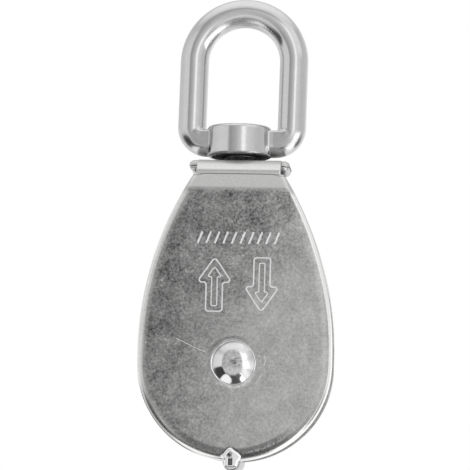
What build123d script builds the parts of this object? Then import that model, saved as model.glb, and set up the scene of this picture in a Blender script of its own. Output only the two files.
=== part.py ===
from build123d import *
import os
from math import sqrt, sin, cos, radians, atan2

os.makedirs("parts", exist_ok=True)

# Swivel pulley block with a single sheave, hanging from its eye.
# Frame: millimetres, +Z up. The origin is the centre of the eye's round upper
# end, where a shackle or hook bears. X runs across the block, Y is the axle's
# direction, and -Y is the front.

# ---------------------------------------------------------------- dimensions
AXLE_Z = -81.0            # axle centre below the eye's origin

# eye: round bar bent to an arch, with a flat yoke and a round hub below
EYE_HALF_W = 17.2         # outer half width
BAR_D = 7.6               # bar diameter
YOKE_TOP_Z = -18.5        # shoulder of the yoke
YOKE_BOT_Z = -25.5        # underside of the yoke
YOKE_CORNER_R = 8.3       # outer corner radius of the yoke
YOKE_DEPTH = 7.6          # front to back
YOKE_ROUND = 3.7          # rounding of its outer edge
HUB_R = 8.35
HUB_TOP_Z = -17.35
HUB_BOT_Z = -25.6
HUB_CHAMFER = 0.55

# swivel pin: head inside the shell, top end closed into the hub
PIN_R = 4.0
PIN_HEAD_R = 6.4
PIN_HEAD_T = 2.4
PIN_CSK_R = 5.6           # countersink in the hub's top that takes the closed end
PIN_CSK_DEPTH = 1.4
PIN_DOME_H = 0.7
PIN_FIT = 0.03            # in the hub, where it is held
SWIVEL_CLEAR = 0.07       # radial, in the web, plate and washer

# shell: folded sheet
SHEET = 1.5
HALF_THICK = 11.5         # outer face of each cheek from the middle plane
CHEEK_R = 25.7            # lower round, about the axle
SIDE_Z0 = 3.1             # the round runs straight up to here
SIDE_R = 87.2             # long side arc above it
RIM_R = 2.7               # rounded edge of the cheek
FLANGE_TIP = 7.0          # turned-in rim ends this far from the middle plane
FLAT_END_Z = 45.6         # above the axle: flat face ends, sheet slopes in
CREASE_Z = 49.8           # above the axle: slope meets the top fold
NECK_HALF_T = 10.2        # outer face at the crease from the middle plane
FOLD_R = 3.7              # outer radius of the top fold
WEB_TOP_Z = 53.9          # above the axle: top of the web
FOLD_HALF_W = 11.1        # half width of the fold
EAR_HALF_W = 13.45        # half width of the web with its ears
EAR_HALF_D = 6.4          # ears' front and back edges from the middle plane
EAR_CORNER_R = 1.6
EAR_ROUND = 1.35          # the ears' upper edge, seen from the front

# bridge plate under the web
PLATE_T = 1.5
PLATE_ROUND = 1.25        # its ends' lower edge

# swivel washer
SWASHER_R = 5.6
SWASHER_T = 1.15

# axle rivet
AXLE_R = 4.0
AXLE_HEAD_R = 5.35
AXLE_HEAD_H = 2.6
AXLE_FIT = 0.03

# sheave and its bush
SHEAVE_R = 22.6
SHEAVE_RIM_HALF = 8.2
SHEAVE_HUB_HALF = 9.0
SHEAVE_ROOT_R = 16.2
GROOVE_R = 4.6
HUB_OUT_R = 8.6
RECESS = 1.9
RECESS_OUT_R = 14.6
BUSH_R = 6.0
BUSH_CLEAR = 0.05

# axle side washers
AWASHER_R = 6.6
AWASHER_T = 0.8

# guard rivet and spacer at the bottom edge
GUARD_Z = -25.6           # above the axle
GUARD_R = 1.9
GUARD_HEAD_T = 1.3
SPACER_R = 2.45
SPACER_HALF = 6.85


def az(h):
    """Height above the axle, given in the block's own frame."""
    return AXLE_Z + h


# ------------------------------------------------------------- shell outline
# The cheek's outline in front view: a round about the axle, a short straight
# run, then a long arc up to the neck on each side.
SIDE_CX = CHEEK_R - SIDE_R


def drop_outline(inset, top):
    """Closed outline as edges, inset by the sheet, cut level at the top."""
    r = CHEEK_R - inset
    big = SIDE_R - inset
    xt = SIDE_CX + sqrt(big ** 2 - (top - SIDE_Z0) ** 2)
    hm = (top + SIDE_Z0) / 2
    xm = SIDE_CX + sqrt(big ** 2 - (hm - SIDE_Z0) ** 2)
    Line((-xt, az(top)), (xt, az(top)))
    ThreePointArc((xt, az(top)), (xm, az(hm)), (r, az(SIDE_Z0)))
    Line((r, az(SIDE_Z0)), (r, az(0)))
    ThreePointArc((r, az(0)), (0, az(-r)), (-r, az(0)))
    Line((-r, az(0)), (-r, az(SIDE_Z0)))
    ThreePointArc((-r, az(SIDE_Z0)), (-xm, az(hm)), (-xt, az(top)))


def side_profile(inset):
    """Closed side view of the folded strip: a bell on two flat cheeks."""
    t = inset
    a = HALF_THICK - t
    n = NECK_HALF_T - t
    rf = FOLD_R - t
    ws = NECK_HALF_T - FOLD_R
    zf = WEB_TOP_Z - FOLD_R
    s = sin(radians(45))
    # the slope's offset moves its two corners down by a little
    slope = atan2(HALF_THICK - NECK_HALF_T, CREASE_Z - FLAT_END_Z)
    drop = t * sin(slope / 2) / cos(slope / 2)
    zb = -CHEEK_R - 4
    Line((-a, az(zb)), (-a, az(FLAT_END_Z - drop)))
    Line((-a, az(FLAT_END_Z - drop)), (-n, az(CREASE_Z - drop)))
    Line((-n, az(CREASE_Z - drop)), (-n, az(zf)))
    ThreePointArc((-n, az(zf)), (-ws - rf * s, az(zf + rf * s)), (-ws, az(zf + rf)))
    Line((-ws, az(zf + rf)), (ws, az(zf + rf)))
    ThreePointArc((ws, az(zf + rf)), (ws + rf * s, az(zf + rf * s)), (n, az(zf)))
    Line((n, az(zf)), (n, az(CREASE_Z - drop)))
    Line((n, az(CREASE_Z - drop)), (a, az(FLAT_END_Z - drop)))
    Line((a, az(FLAT_END_Z - drop)), (a, az(zb)))
    Line((a, az(zb)), (-a, az(zb)))


# ------------------------------------------------------------------- shell
# Outer and inner forms of the folded strip, each built in two storeys: the
# flat cheeks with their rounded rim, and the sloped neck above them. The shell
# is the outer form less the inner one.
def cheek_form(inset):
    """Flat cheeks up to the start of the slope, with the rim rounded."""
    half = HALF_THICK - inset
    with BuildPart() as form:
        with BuildSketch(Plane.XZ):
            with BuildLine():
                drop_outline(inset, FLAT_END_Z)
            make_face()
        extrude(amount=half, both=True)
        rim = [
            e for e in form.edges()
            if abs(abs(e.center().Y) - half) < 1e-3
            and e.bounding_box().size.Y < 1e-3
            and e.bounding_box().size.Z > 0.5
        ]
        fillet(rim, RIM_R - inset)
    return form.part


def neck_form(inset):
    """Sloped neck between the flat cheeks and the top fold."""
    with BuildPart() as form:
        with BuildSketch(Plane.XZ):
            with BuildLine():
                drop_outline(inset, CREASE_Z)
            make_face()
        extrude(amount=HALF_THICK + 5, both=True)
        with BuildSketch(Plane.YZ):
            with BuildLine():
                side_profile(inset)
            make_face()
        extrude(amount=40, both=True, mode=Mode.INTERSECT)
        with BuildSketch(Plane.XY.offset(az(FLAT_END_Z))):
            Rectangle(100, 100)
        extrude(amount=-100, mode=Mode.SUBTRACT)
        rim = [
            e for e in form.edges()
            if e.bounding_box().size.Z > 2
            and e.bounding_box().size.Y > 0.5
            and e.bounding_box().size.X > 0.5
        ]
        fillet(rim, RIM_R - inset)
    return form.part


def rounded_bar(half_w, half_d, bottom, top, round_r, upper):
    """Flat bar across the block, its two ends rounded above or below."""
    keep = az(top) if upper else az(bottom)
    with BuildPart() as bar:
        with BuildSketch(Plane.XZ) as section:
            with Locations((0, az((bottom + top) / 2))):
                Rectangle(2 * half_w, top - bottom)
            fillet([v for v in section.vertices() if abs(v.Z - keep) < 1e-3], round_r)
        extrude(amount=half_d, both=True)
        with BuildSketch(Plane.XY.offset(az(bottom - 1))):
            RectangleRounded(2 * half_w, 2 * half_d, EAR_CORNER_R)
        extrude(amount=top - bottom + 2, mode=Mode.INTERSECT)
    return bar.part


outer_cheeks = cheek_form(0)
outer_neck = neck_form(0)
inner_cheeks = cheek_form(SHEET)
inner_neck = neck_form(SHEET)

with BuildPart() as shell:
    add(outer_cheeks)
    add(outer_neck)
    # top fold: the side profile above the crease, as wide as the fold
    with BuildSketch(Plane.YZ) as fold_section:
        with BuildLine():
            side_profile(0)
        make_face()
        with Locations((0, az(CREASE_Z - 50))):
            Rectangle(60, 100, mode=Mode.SUBTRACT)
    extrude(amount=FOLD_HALF_W, both=True)
    add(inner_cheeks, mode=Mode.SUBTRACT)
    add(inner_neck, mode=Mode.SUBTRACT)
    with BuildSketch(Plane.YZ) as hollow_section:
        with BuildLine():
            side_profile(SHEET)
        make_face()
        with Locations((0, az(CREASE_Z - SHEET - 50))):
            Rectangle(60, 100, mode=Mode.SUBTRACT)
    extrude(amount=FOLD_HALF_W - 0.8, both=True, mode=Mode.SUBTRACT)
    with BuildSketch(Plane.YZ) as hollow_top:
        with BuildLine():
            side_profile(SHEET)
        make_face()
        with Locations((0, az(CREASE_Z - 50))):
            Rectangle(60, 100, mode=Mode.SUBTRACT)
    extrude(amount=FOLD_HALF_W + 6, both=True, mode=Mode.SUBTRACT)
    # the sides between the two turned-in rims are open
    with BuildSketch(Plane.XY.offset(az(WEB_TOP_Z - SHEET))):
        Rectangle(80, 2 * FLANGE_TIP)
    extrude(amount=-(WEB_TOP_Z - SHEET + CHEEK_R + 5), mode=Mode.SUBTRACT)
    # web with its ears
    add(rounded_bar(EAR_HALF_W, EAR_HALF_D, WEB_TOP_Z - SHEET, WEB_TOP_Z, EAR_ROUND, True))
    # swivel pin hole
    with BuildSketch(Plane.XY.offset(az(WEB_TOP_Z + 1))):
        Circle(PIN_R + SWIVEL_CLEAR)
    extrude(amount=-(SHEET + 3), mode=Mode.SUBTRACT)
    # axle hole through both cheeks
    with BuildSketch(Plane.XZ.offset(-HALF_THICK - 2)):
        with Locations((0, az(0))):
            Circle(AXLE_R + AXLE_FIT)
    extrude(amount=2 * HALF_THICK + 4, mode=Mode.SUBTRACT)
    # half-round notches for the guard rivet in the bottom edge
    with BuildSketch(Plane.XZ.offset(-HALF_THICK - 2)):
        with Locations((0, az(GUARD_Z))):
            Circle(GUARD_R + 0.03)
    extrude(amount=2 * HALF_THICK + 4, mode=Mode.SUBTRACT)
shell.part.label = "shell"
export_step(shell.part, "parts/shell.step")

# ------------------------------------------------------------- bridge plate
with BuildPart() as bridge_plate:
    add(rounded_bar(EAR_HALF_W - 0.1, EAR_HALF_D - 0.1, WEB_TOP_Z - SHEET - PLATE_T,
                    WEB_TOP_Z - SHEET, PLATE_ROUND, False))
    with BuildSketch(Plane.XY.offset(az(WEB_TOP_Z))):
        Circle(PIN_R + SWIVEL_CLEAR)
    extrude(amount=-(SHEET + PLATE_T + 1), mode=Mode.SUBTRACT)
bridge_plate.part.label = "bridge_plate"
export_step(bridge_plate.part, "parts/bridge_plate.step")

# --------------------------------------------------------------------- eye
BAR_R = BAR_D / 2
MID_W = EYE_HALF_W - BAR_R
LEG_END_Z = YOKE_BOT_Z + YOKE_CORNER_R
with BuildPart() as eye:
    # flat yoke: rounded lower corners, full-round outer edge
    with BuildSketch(Plane.XZ) as yoke_face:
        with BuildLine():
            w = EYE_HALF_W
            c = YOKE_CORNER_R
            zb = YOKE_BOT_Z
            k = c * (1 - sin(radians(45)))
            Polyline(
                (-w, LEG_END_Z),
                (-MID_W, LEG_END_Z),
                (-MID_W, YOKE_TOP_Z),
                (MID_W, YOKE_TOP_Z),
                (MID_W, LEG_END_Z),
                (w, LEG_END_Z),
            )
            ThreePointArc((w, LEG_END_Z), (w - k, zb + k), (w - c, zb))
            Line((w - c, zb), (-w + c, zb))
            ThreePointArc((-w + c, zb), (-w + k, zb + k), (-w, LEG_END_Z))
        make_face()
    extrude(amount=YOKE_DEPTH / 2, both=True)
    outer_edge = [
        e for e in eye.edges()
        if abs(abs(e.center().Y) - YOKE_DEPTH / 2) < 1e-3
        and e.bounding_box().size.Y < 1e-3
        and e.bounding_box().min.Z < YOKE_TOP_Z - 2
    ]
    fillet(outer_edge, YOKE_ROUND)
    # arch and straight legs, one round bar
    with BuildSketch(Plane.XY):
        with Locations((-MID_W, 0), (MID_W, 0)):
            Circle(BAR_R)
    extrude(amount=LEG_END_Z)
    with BuildSketch(Plane.XY):
        with Locations((MID_W, 0)):
            Circle(BAR_R)
    revolve(axis=Axis((0, 0, 0), (0, -1, 0)), revolution_arc=180)
    # inner half of each leg runs on down to the yoke's shoulder
    with BuildSketch(Plane.XY.offset(LEG_END_Z)):
        with Locations((-MID_W, 0), (MID_W, 0)):
            Circle(BAR_R)
        Rectangle(2 * MID_W, 20, mode=Mode.INTERSECT)
    extrude(amount=YOKE_TOP_Z - LEG_END_Z - 0.5)
    # hub
    with BuildSketch(Plane.XY.offset(HUB_BOT_Z)):
        Circle(HUB_R)
    extrude(amount=HUB_TOP_Z - HUB_BOT_Z)
    rim = [
        e for e in eye.edges().filter_by(GeomType.CIRCLE)
        if abs(e.center().Z - HUB_TOP_Z) < 1e-3 and abs(e.radius - HUB_R) < 1e-3
        and e.bounding_box().size.Z < 1e-3
    ]
    chamfer(rim, HUB_CHAMFER)
    # pin bore and the countersink that takes its closed end
    with BuildSketch(Plane.XZ):
        with BuildLine():
            Polyline(
                (0, HUB_BOT_Z - 1),
                (PIN_R + PIN_FIT, HUB_BOT_Z - 1),
                (PIN_R + PIN_FIT, HUB_TOP_Z - PIN_CSK_DEPTH),
                (PIN_CSK_R + PIN_FIT, HUB_TOP_Z),
                (PIN_CSK_R + PIN_FIT, HUB_TOP_Z + 1),
                (0, HUB_TOP_Z + 1),
                close=True,
            )
        make_face()
    revolve(axis=Axis.Z, mode=Mode.SUBTRACT)
eye.part.label = "eye"
export_step(eye.part, "parts/eye.step")

# --------------------------------------------------------------- swivel pin
PLATE_BOT = az(WEB_TOP_Z - SHEET - PLATE_T)
PIN_HEAD_TOP = PLATE_BOT - 0.2
DOME_S = (PIN_CSK_R ** 2 + PIN_DOME_H ** 2) / (2 * PIN_DOME_H)
with BuildPart() as swivel_pin:
    with BuildSketch(Plane.XZ):
        with BuildLine():
            mid = PIN_CSK_R / 2
            Polyline(
                (0, HUB_TOP_Z + PIN_DOME_H),
                (0, PIN_HEAD_TOP - PIN_HEAD_T),
                (PIN_HEAD_R - 0.6, PIN_HEAD_TOP - PIN_HEAD_T),
                (PIN_HEAD_R, PIN_HEAD_TOP - PIN_HEAD_T + 0.6),
                (PIN_HEAD_R, PIN_HEAD_TOP),
                (PIN_R, PIN_HEAD_TOP),
                (PIN_R, HUB_TOP_Z - PIN_CSK_DEPTH),
                (PIN_CSK_R, HUB_TOP_Z),
            )
            ThreePointArc(
                (PIN_CSK_R, HUB_TOP_Z),
                (mid, HUB_TOP_Z + PIN_DOME_H - DOME_S + sqrt(DOME_S ** 2 - mid ** 2)),
                (0, HUB_TOP_Z + PIN_DOME_H),
            )
        make_face()
    revolve(axis=Axis.Z)
swivel_pin.part.label = "swivel_pin"
export_step(swivel_pin.part, "parts/swivel_pin.step")

# ------------------------------------------------------------ swivel washer
with BuildPart() as swivel_washer:
    with BuildSketch(Plane.XY.offset(az(WEB_TOP_Z))):
        Circle(SWASHER_R)
        Circle(PIN_R + SWIVEL_CLEAR, mode=Mode.SUBTRACT)
    extrude(amount=SWASHER_T)
    chamfer(swivel_washer.edges().filter_by(GeomType.CIRCLE).sort_by(SortBy.RADIUS)[-2:], 0.25)
swivel_washer.part.label = "swivel_washer"
export_step(swivel_washer.part, "parts/swivel_washer.step")

# --------------------------------------------------------------------- axle
HEAD_S = (AXLE_HEAD_R ** 2 + AXLE_HEAD_H ** 2) / (2 * AXLE_HEAD_H)
with BuildPart() as axle:
    with BuildSketch(Plane.XY.offset(az(0))):
        with BuildLine():
            top = HALF_THICK + AXLE_HEAD_H
            m = AXLE_HEAD_R * 0.62
            ym = top - HEAD_S + sqrt(HEAD_S ** 2 - m ** 2)
            Line((0, -top), (0, top))
            ThreePointArc((0, top), (m, ym), (AXLE_HEAD_R, HALF_THICK))
            Line((AXLE_HEAD_R, HALF_THICK), (AXLE_R, HALF_THICK))
            Line((AXLE_R, HALF_THICK), (AXLE_R, -HALF_THICK))
            Line((AXLE_R, -HALF_THICK), (AXLE_HEAD_R, -HALF_THICK))
            ThreePointArc((AXLE_HEAD_R, -HALF_THICK), (m, -ym), (0, -top))
        make_face()
    revolve(axis=Axis((0, 0, az(0)), (0, 1, 0)))
axle.part.label = "axle"
export_step(axle.part, "parts/axle.step")

# ------------------------------------------------------------------- sheave
# Half section in the plane of the axle: X is the radius, Y runs along it.
FLARE = radians(18)
gc = SHEAVE_ROOT_R + GROOVE_R
gx = gc + GROOVE_R * sin(FLARE) * -1
gy = GROOVE_R * cos(FLARE)
lip_y = gy + (SHEAVE_R - 0.7 - gx) * sin(FLARE) / cos(FLARE)
with BuildPart() as sheave:
    with BuildSketch(Plane.XY.offset(az(0))):
        with BuildLine():
            Polyline(
                (SHEAVE_R - 0.7, lip_y),
                (SHEAVE_R, lip_y + 0.55),
                (SHEAVE_R, SHEAVE_RIM_HALF - 0.7),
                (SHEAVE_R - 0.7, SHEAVE_RIM_HALF),
                (RECESS_OUT_R, SHEAVE_RIM_HALF),
                (RECESS_OUT_R - 1.2, SHEAVE_RIM_HALF - RECESS),
                (HUB_OUT_R + 0.8, SHEAVE_RIM_HALF - RECESS),
                (HUB_OUT_R, SHEAVE_HUB_HALF),
                (BUSH_R, SHEAVE_HUB_HALF),
                (BUSH_R, -SHEAVE_HUB_HALF),
                (HUB_OUT_R, -SHEAVE_HUB_HALF),
                (HUB_OUT_R + 0.8, -SHEAVE_RIM_HALF + RECESS),
                (RECESS_OUT_R - 1.2, -SHEAVE_RIM_HALF + RECESS),
                (RECESS_OUT_R, -SHEAVE_RIM_HALF),
                (SHEAVE_R - 0.7, -SHEAVE_RIM_HALF),
                (SHEAVE_R, -SHEAVE_RIM_HALF + 0.7),
                (SHEAVE_R, -lip_y - 0.55),
                (SHEAVE_R - 0.7, -lip_y),
                (gx, -gy),
            )
            ThreePointArc((gx, -gy), (SHEAVE_ROOT_R, 0), (gx, gy))
            Line((gx, gy), (SHEAVE_R - 0.7, lip_y))
        make_face()
    revolve(axis=Axis((0, 0, az(0)), (0, 1, 0)))
sheave.part.label = "sheave"
export_step(sheave.part, "parts/sheave.step")

# -------------------------------------------------------------- sheave bush
with BuildPart() as sheave_bush:
    with BuildSketch(Plane.XZ.offset(-SHEAVE_HUB_HALF)):
        with Locations((0, az(0))):
            Circle(BUSH_R - 0.01)
            Circle(AXLE_R + BUSH_CLEAR, mode=Mode.SUBTRACT)
    extrude(amount=2 * SHEAVE_HUB_HALF)
sheave_bush.part.label = "sheave_bush"
export_step(sheave_bush.part, "parts/sheave_bush.step")

# --------------------------------------------------------- axle side washers
INNER = HALF_THICK - SHEET
with BuildPart() as axle_washer_front:
    with BuildSketch(Plane.XZ.offset(INNER - AWASHER_T)):
        with Locations((0, az(0))):
            Circle(AWASHER_R)
            Circle(AXLE_R + 0.03, mode=Mode.SUBTRACT)
    extrude(amount=AWASHER_T)
axle_washer_front.part.label = "axle_washer_front"
export_step(axle_washer_front.part, "parts/axle_washer_front.step")

with BuildPart() as axle_washer_rear:
    with BuildSketch(Plane.XZ.offset(-INNER)):
        with Locations((0, az(0))):
            Circle(AWASHER_R)
            Circle(AXLE_R + 0.03, mode=Mode.SUBTRACT)
    extrude(amount=AWASHER_T)
axle_washer_rear.part.label = "axle_washer_rear"
export_step(axle_washer_rear.part, "parts/axle_washer_rear.step")

# -------------------------------------------------------------- guard rivet
# Its ends are peened over: a pointed arch on the cheek's face above the edge
# and a squarish tongue below it.
def peened_outline():
    zc = az(0)
    Polyline(
        (1.35, zc - 27.5),
        (1.85, zc - 27.0),
        (1.85, zc - 25.6),
        (3.05, zc - 24.2),
    )
    ThreePointArc((3.05, zc - 24.2), (1.75, zc - 22.7), (0, zc - 21.9))
    ThreePointArc((0, zc - 21.9), (-1.75, zc - 22.7), (-3.05, zc - 24.2))
    Polyline(
        (-3.05, zc - 24.2),
        (-1.85, zc - 25.6),
        (-1.85, zc - 27.0),
        (-1.35, zc - 27.5),
        (1.35, zc - 27.5),
    )


with BuildPart() as guard_rivet:
    with BuildSketch(Plane.XZ.offset(-HALF_THICK)):
        with Locations((0, az(GUARD_Z))):
            Circle(GUARD_R)
    extrude(amount=2 * HALF_THICK)
    with BuildSketch(Plane.XZ.offset(HALF_THICK)):
        with BuildLine():
            peened_outline()
        make_face()
    extrude(amount=GUARD_HEAD_T)
    with BuildSketch(Plane.XZ.offset(-HALF_THICK)):
        with BuildLine():
            peened_outline()
        make_face()
    extrude(amount=-GUARD_HEAD_T)
    outer_edges = [
        e for e in guard_rivet.edges()
        if abs(abs(e.center().Y) - HALF_THICK - GUARD_HEAD_T) < 1e-3
    ]
    fillet(outer_edges, 0.45)
guard_rivet.part.label = "guard_rivet"
export_step(guard_rivet.part, "parts/guard_rivet.step")

# ------------------------------------------------------------- guard spacer
with BuildPart() as guard_spacer:
    with BuildSketch(Plane.XZ.offset(-SPACER_HALF)):
        with Locations((0, az(GUARD_Z))):
            Circle(SPACER_R)
            Circle(GUARD_R + 0.04, mode=Mode.SUBTRACT)
    extrude(amount=2 * SPACER_HALF)
guard_spacer.part.label = "guard_spacer"
export_step(guard_spacer.part, "parts/guard_spacer.step")
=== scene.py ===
import math

import bpy
import bmesh
import numpy as np
from mathutils import Matrix, Vector


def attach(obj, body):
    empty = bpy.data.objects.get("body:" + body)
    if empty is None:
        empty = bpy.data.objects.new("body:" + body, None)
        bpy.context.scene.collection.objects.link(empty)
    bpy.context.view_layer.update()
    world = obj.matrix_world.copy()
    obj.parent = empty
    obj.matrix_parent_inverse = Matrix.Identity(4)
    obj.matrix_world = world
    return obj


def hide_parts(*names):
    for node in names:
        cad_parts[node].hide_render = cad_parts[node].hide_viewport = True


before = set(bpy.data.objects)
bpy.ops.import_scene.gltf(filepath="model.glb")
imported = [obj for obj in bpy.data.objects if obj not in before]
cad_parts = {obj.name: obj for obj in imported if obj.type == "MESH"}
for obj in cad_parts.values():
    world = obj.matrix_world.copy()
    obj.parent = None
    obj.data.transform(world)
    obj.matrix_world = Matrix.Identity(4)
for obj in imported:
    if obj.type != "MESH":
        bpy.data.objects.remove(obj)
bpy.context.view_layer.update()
MM = 0.001

# Everything below is worked out in millimetres in the CAD's frame and written
# to the meshes in metres. Heights called h are above the axle.
AXLE_Z = -81.0

EYE_HALF_W = 17.1
EYE_LEAN = 0.0131          # the eye leans a little in the swivel's play
BAR_R = 3.8
MID_W = EYE_HALF_W - BAR_R
YOKE_TOP_Z, YOKE_BOT_Z = -18.5, -25.5
YOKE_CORNER_R = 8.0
HUB_R, HUB_TOP_Z, HUB_BOT_Z = 8.35, -17.35, -25.6
PIN_R, PIN_CSK_R, PIN_CSK_DEPTH = 4.0, 5.6, 1.4

SHEET = 1.5
HALF_THICK = 11.5
CHEEK_R = 25.7
SIDE_Z0, SIDE_R = 3.1, 87.2
SIDE_CX = CHEEK_R - SIDE_R
RIM_R = 2.8
FLANGE_TIP = 7.0
BEND_H, CREASE_H = 45.6, 49.75
NECK_HALF_T = 10.17
WEB_TOP_H, WEB_BOT_H = 53.9, 52.4
PLATE_BOT_H = 50.9
FOLD_HALF_W = 11.1
EAR_HALF_W, EAR_HALF_D, EAR_CORNER_R = 13.3, 6.4, 1.6
EAR_OFF_X = -0.12          # the ears sit a little to one side
HUB_OFF_X = -0.65          # so does the hub's rough outside
GUARD_H = -25.6


# ------------------------------------------------------------ mesh helpers
def mesh_object(name, verts, faces, normals=None, mats=(), mat_index=None, sharp=None):
    """An object from millimetre vertices; normals are one per vertex."""
    me = bpy.data.meshes.new(name)
    me.from_pydata([tuple(v) for v in np.asarray(verts, float) * MM], [], [tuple(f) for f in faces])
    me.validate()
    for m in mats:
        me.materials.append(m)
    if mat_index is not None:
        me.polygons.foreach_set("material_index", np.asarray(mat_index, np.int32))
    me.polygons.foreach_set("use_smooth", np.ones(len(me.polygons), bool))
    if sharp is not None:
        me.set_sharp_from_angle(angle=math.radians(sharp))
    if normals is not None:
        me.normals_split_custom_set_from_vertices([tuple(n) for n in normals])
    me.update()
    ob = bpy.data.objects.new(name, me)
    bpy.context.scene.collection.objects.link(ob)
    return ob


def bake(ob):
    """Replaces an object's mesh by its mesh with the modifiers applied."""
    dg = bpy.context.evaluated_depsgraph_get()
    me = bpy.data.meshes.new_from_object(ob.evaluated_get(dg), preserve_all_data_layers=True, depsgraph=dg)
    old = ob.data
    ob.modifiers.clear()
    ob.data = me
    bpy.data.meshes.remove(old)
    return ob


def join(name, obs):
    """Joins mesh objects into the first one."""
    bpy.ops.object.select_all(action="DESELECT")
    for o in obs:
        o.select_set(True)
    bpy.context.view_layer.objects.active = obs[0]
    bpy.ops.object.join()
    obs[0].name = name
    obs[0].data.name = name
    return obs[0]


def r_union(a, b, r):
    """Union of two distance fields with a round fillet of radius r."""
    return np.maximum(np.minimum(a, b), r) - np.hypot(np.maximum(r - a, 0), np.maximum(r - b, 0))


def r_inter(a, b, r):
    """Intersection of two distance fields with a rounded edge of radius r."""
    return np.minimum(np.maximum(a, b), -r) + np.hypot(np.maximum(r + a, 0), np.maximum(r + b, 0))


def smooth(e0, e1, x):
    t = np.clip((x - e0) / (e1 - e0), 0, 1)
    return t * t * (3 - 2 * t)


def gradient(sdf, p, eps=2e-3):
    g = np.empty_like(p)
    for i in range(3):
        a, b = p.copy(), p.copy()
        a[:, i] += eps
        b[:, i] -= eps
        g[:, i] = (sdf(*a.T) - sdf(*b.T)) / (2 * eps)
    return g


def project(sdf, p, limit, rounds):
    for _ in range(rounds):
        g = gradient(sdf, p)
        n2 = np.maximum((g ** 2).sum(1), 0.05)
        step = (sdf(*p.T) / n2)[:, None] * g
        length = np.linalg.norm(step, axis=1)
        step *= np.minimum(1, limit / np.maximum(length, 1e-9))[:, None]
        p = p - step
    return p


def net(sdf, lo, hi, pitch, relax=2):
    """Even quad mesh of a distance field's zero surface, with exact normals."""
    ax = [np.arange(lo[i], hi[i] + pitch, pitch) for i in range(3)]
    d = sdf(*np.meshgrid(*ax, indexing="ij"))
    ins = d < 0
    count = np.zeros([n - 1 for n in ins.shape], np.int8)
    for i in (0, 1):
        for j in (0, 1):
            for k in (0, 1):
                count += ins[i:ins.shape[0] - 1 + i, j:ins.shape[1] - 1 + j, k:ins.shape[2] - 1 + k]
    act = (count > 0) & (count < 8)
    idx = np.argwhere(act)
    ids = np.full(act.shape, -1, np.int64)
    ids[tuple(idx.T)] = np.arange(len(idx))
    base = np.stack([ax[i][idx[:, i]] for i in range(3)], 1)
    acc, num = np.zeros((len(idx), 3)), np.zeros(len(idx))
    for axis in range(3):
        o1, o2 = [a for a in range(3) if a != axis]
        for a in (0, 1):
            for b in (0, 1):
                c0 = idx.copy()
                c0[:, o1] += a
                c0[:, o2] += b
                c1 = c0.copy()
                c1[:, axis] += 1
                d0, d1 = d[tuple(c0.T)], d[tuple(c1.T)]
                hit = (d0 < 0) != (d1 < 0)
                t = np.where(hit, d0 / np.where(hit, d0 - d1, 1), 0)
                pt = np.zeros((len(idx), 3))
                pt[:, o1], pt[:, o2], pt[:, axis] = a, b, t
                acc[hit] += pt[hit]
                num[hit] += 1
    p = base + pitch * acc / np.maximum(num, 1)[:, None]
    quads = []
    for axis in range(3):
        o1, o2 = [(1, 2), (2, 0), (0, 1)][axis]
        n = ins.shape[axis]
        sl0, sl1 = [slice(None)] * 3, [slice(None)] * 3
        sl0[axis], sl1[axis] = slice(0, n - 1), slice(1, n)
        a0, a1 = ins[tuple(sl0)], ins[tuple(sl1)]
        for flip, mask in ((False, a0 & ~a1), (True, ~a0 & a1)):
            e = np.argwhere(mask)
            keep = (e[:, o1] > 0) & (e[:, o2] > 0) & (e[:, o1] < ins.shape[o1] - 1) & (e[:, o2] < ins.shape[o2] - 1)
            e = e[keep]
            c = []
            for da, db in ((-1, -1), (0, -1), (0, 0), (-1, 0)):
                q = e.copy()
                q[:, o1] += da
                q[:, o2] += db
                c.append(ids[tuple(q.T)])
            q = np.stack(c, 1)
            quads.append(q[:, ::-1] if flip else q)
    quads = np.concatenate(quads)
    p = project(sdf, p, pitch, 3)
    e = np.concatenate([quads[:, [0, 1]], quads[:, [1, 2]], quads[:, [2, 3]], quads[:, [3, 0]]])
    for _ in range(relax):
        s, w = np.zeros_like(p), np.zeros(len(p))
        np.add.at(s, e[:, 0], p[e[:, 1]])
        np.add.at(w, e[:, 0], 1)
        np.add.at(s, e[:, 1], p[e[:, 0]])
        np.add.at(w, e[:, 1], 1)
        p = 0.4 * p + 0.6 * s / w[:, None]
        p = project(sdf, p, pitch, 2)
    g = gradient(sdf, p)
    g /= np.maximum(np.linalg.norm(g, axis=1), 1e-9)[:, None]
    return p, quads, g


def rounded_path(points, radii, steps=6, closed=False):
    """Polyline with an arc at each corner; radii has one value per point."""
    out = []
    n = len(points)
    for i, (p, r) in enumerate(zip(points, radii)):
        p = np.array(p, float)
        if (not closed and i in (0, n - 1)) or r <= 0:
            out.append(p)
            continue
        a, b = np.array(points[i - 1], float), np.array(points[(i + 1) % n], float)
        u, v = (a - p), (b - p)
        lu, lv = np.linalg.norm(u), np.linalg.norm(v)
        u, v = u / lu, v / lv
        ang = math.acos(max(-1, min(1, float(u @ v))))
        if ang > math.pi - 1e-3:
            out.append(p)
            continue
        t = min(r / math.tan(ang / 2), 0.48 * lu, 0.48 * lv)
        rr = t * math.tan(ang / 2)
        c = p + (u + v) / np.linalg.norm(u + v) * (rr / math.sin(ang / 2))
        a0 = p + u * t - c
        a1 = p + v * t - c
        th = math.acos(max(-1, min(1, float(a0 @ a1) / rr ** 2)))
        for k in range(steps + 1):
            f = k / steps
            out.append(c + (math.sin((1 - f) * th) * a0 + math.sin(f * th) * a1) / math.sin(th))
    return np.array(out)


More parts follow.
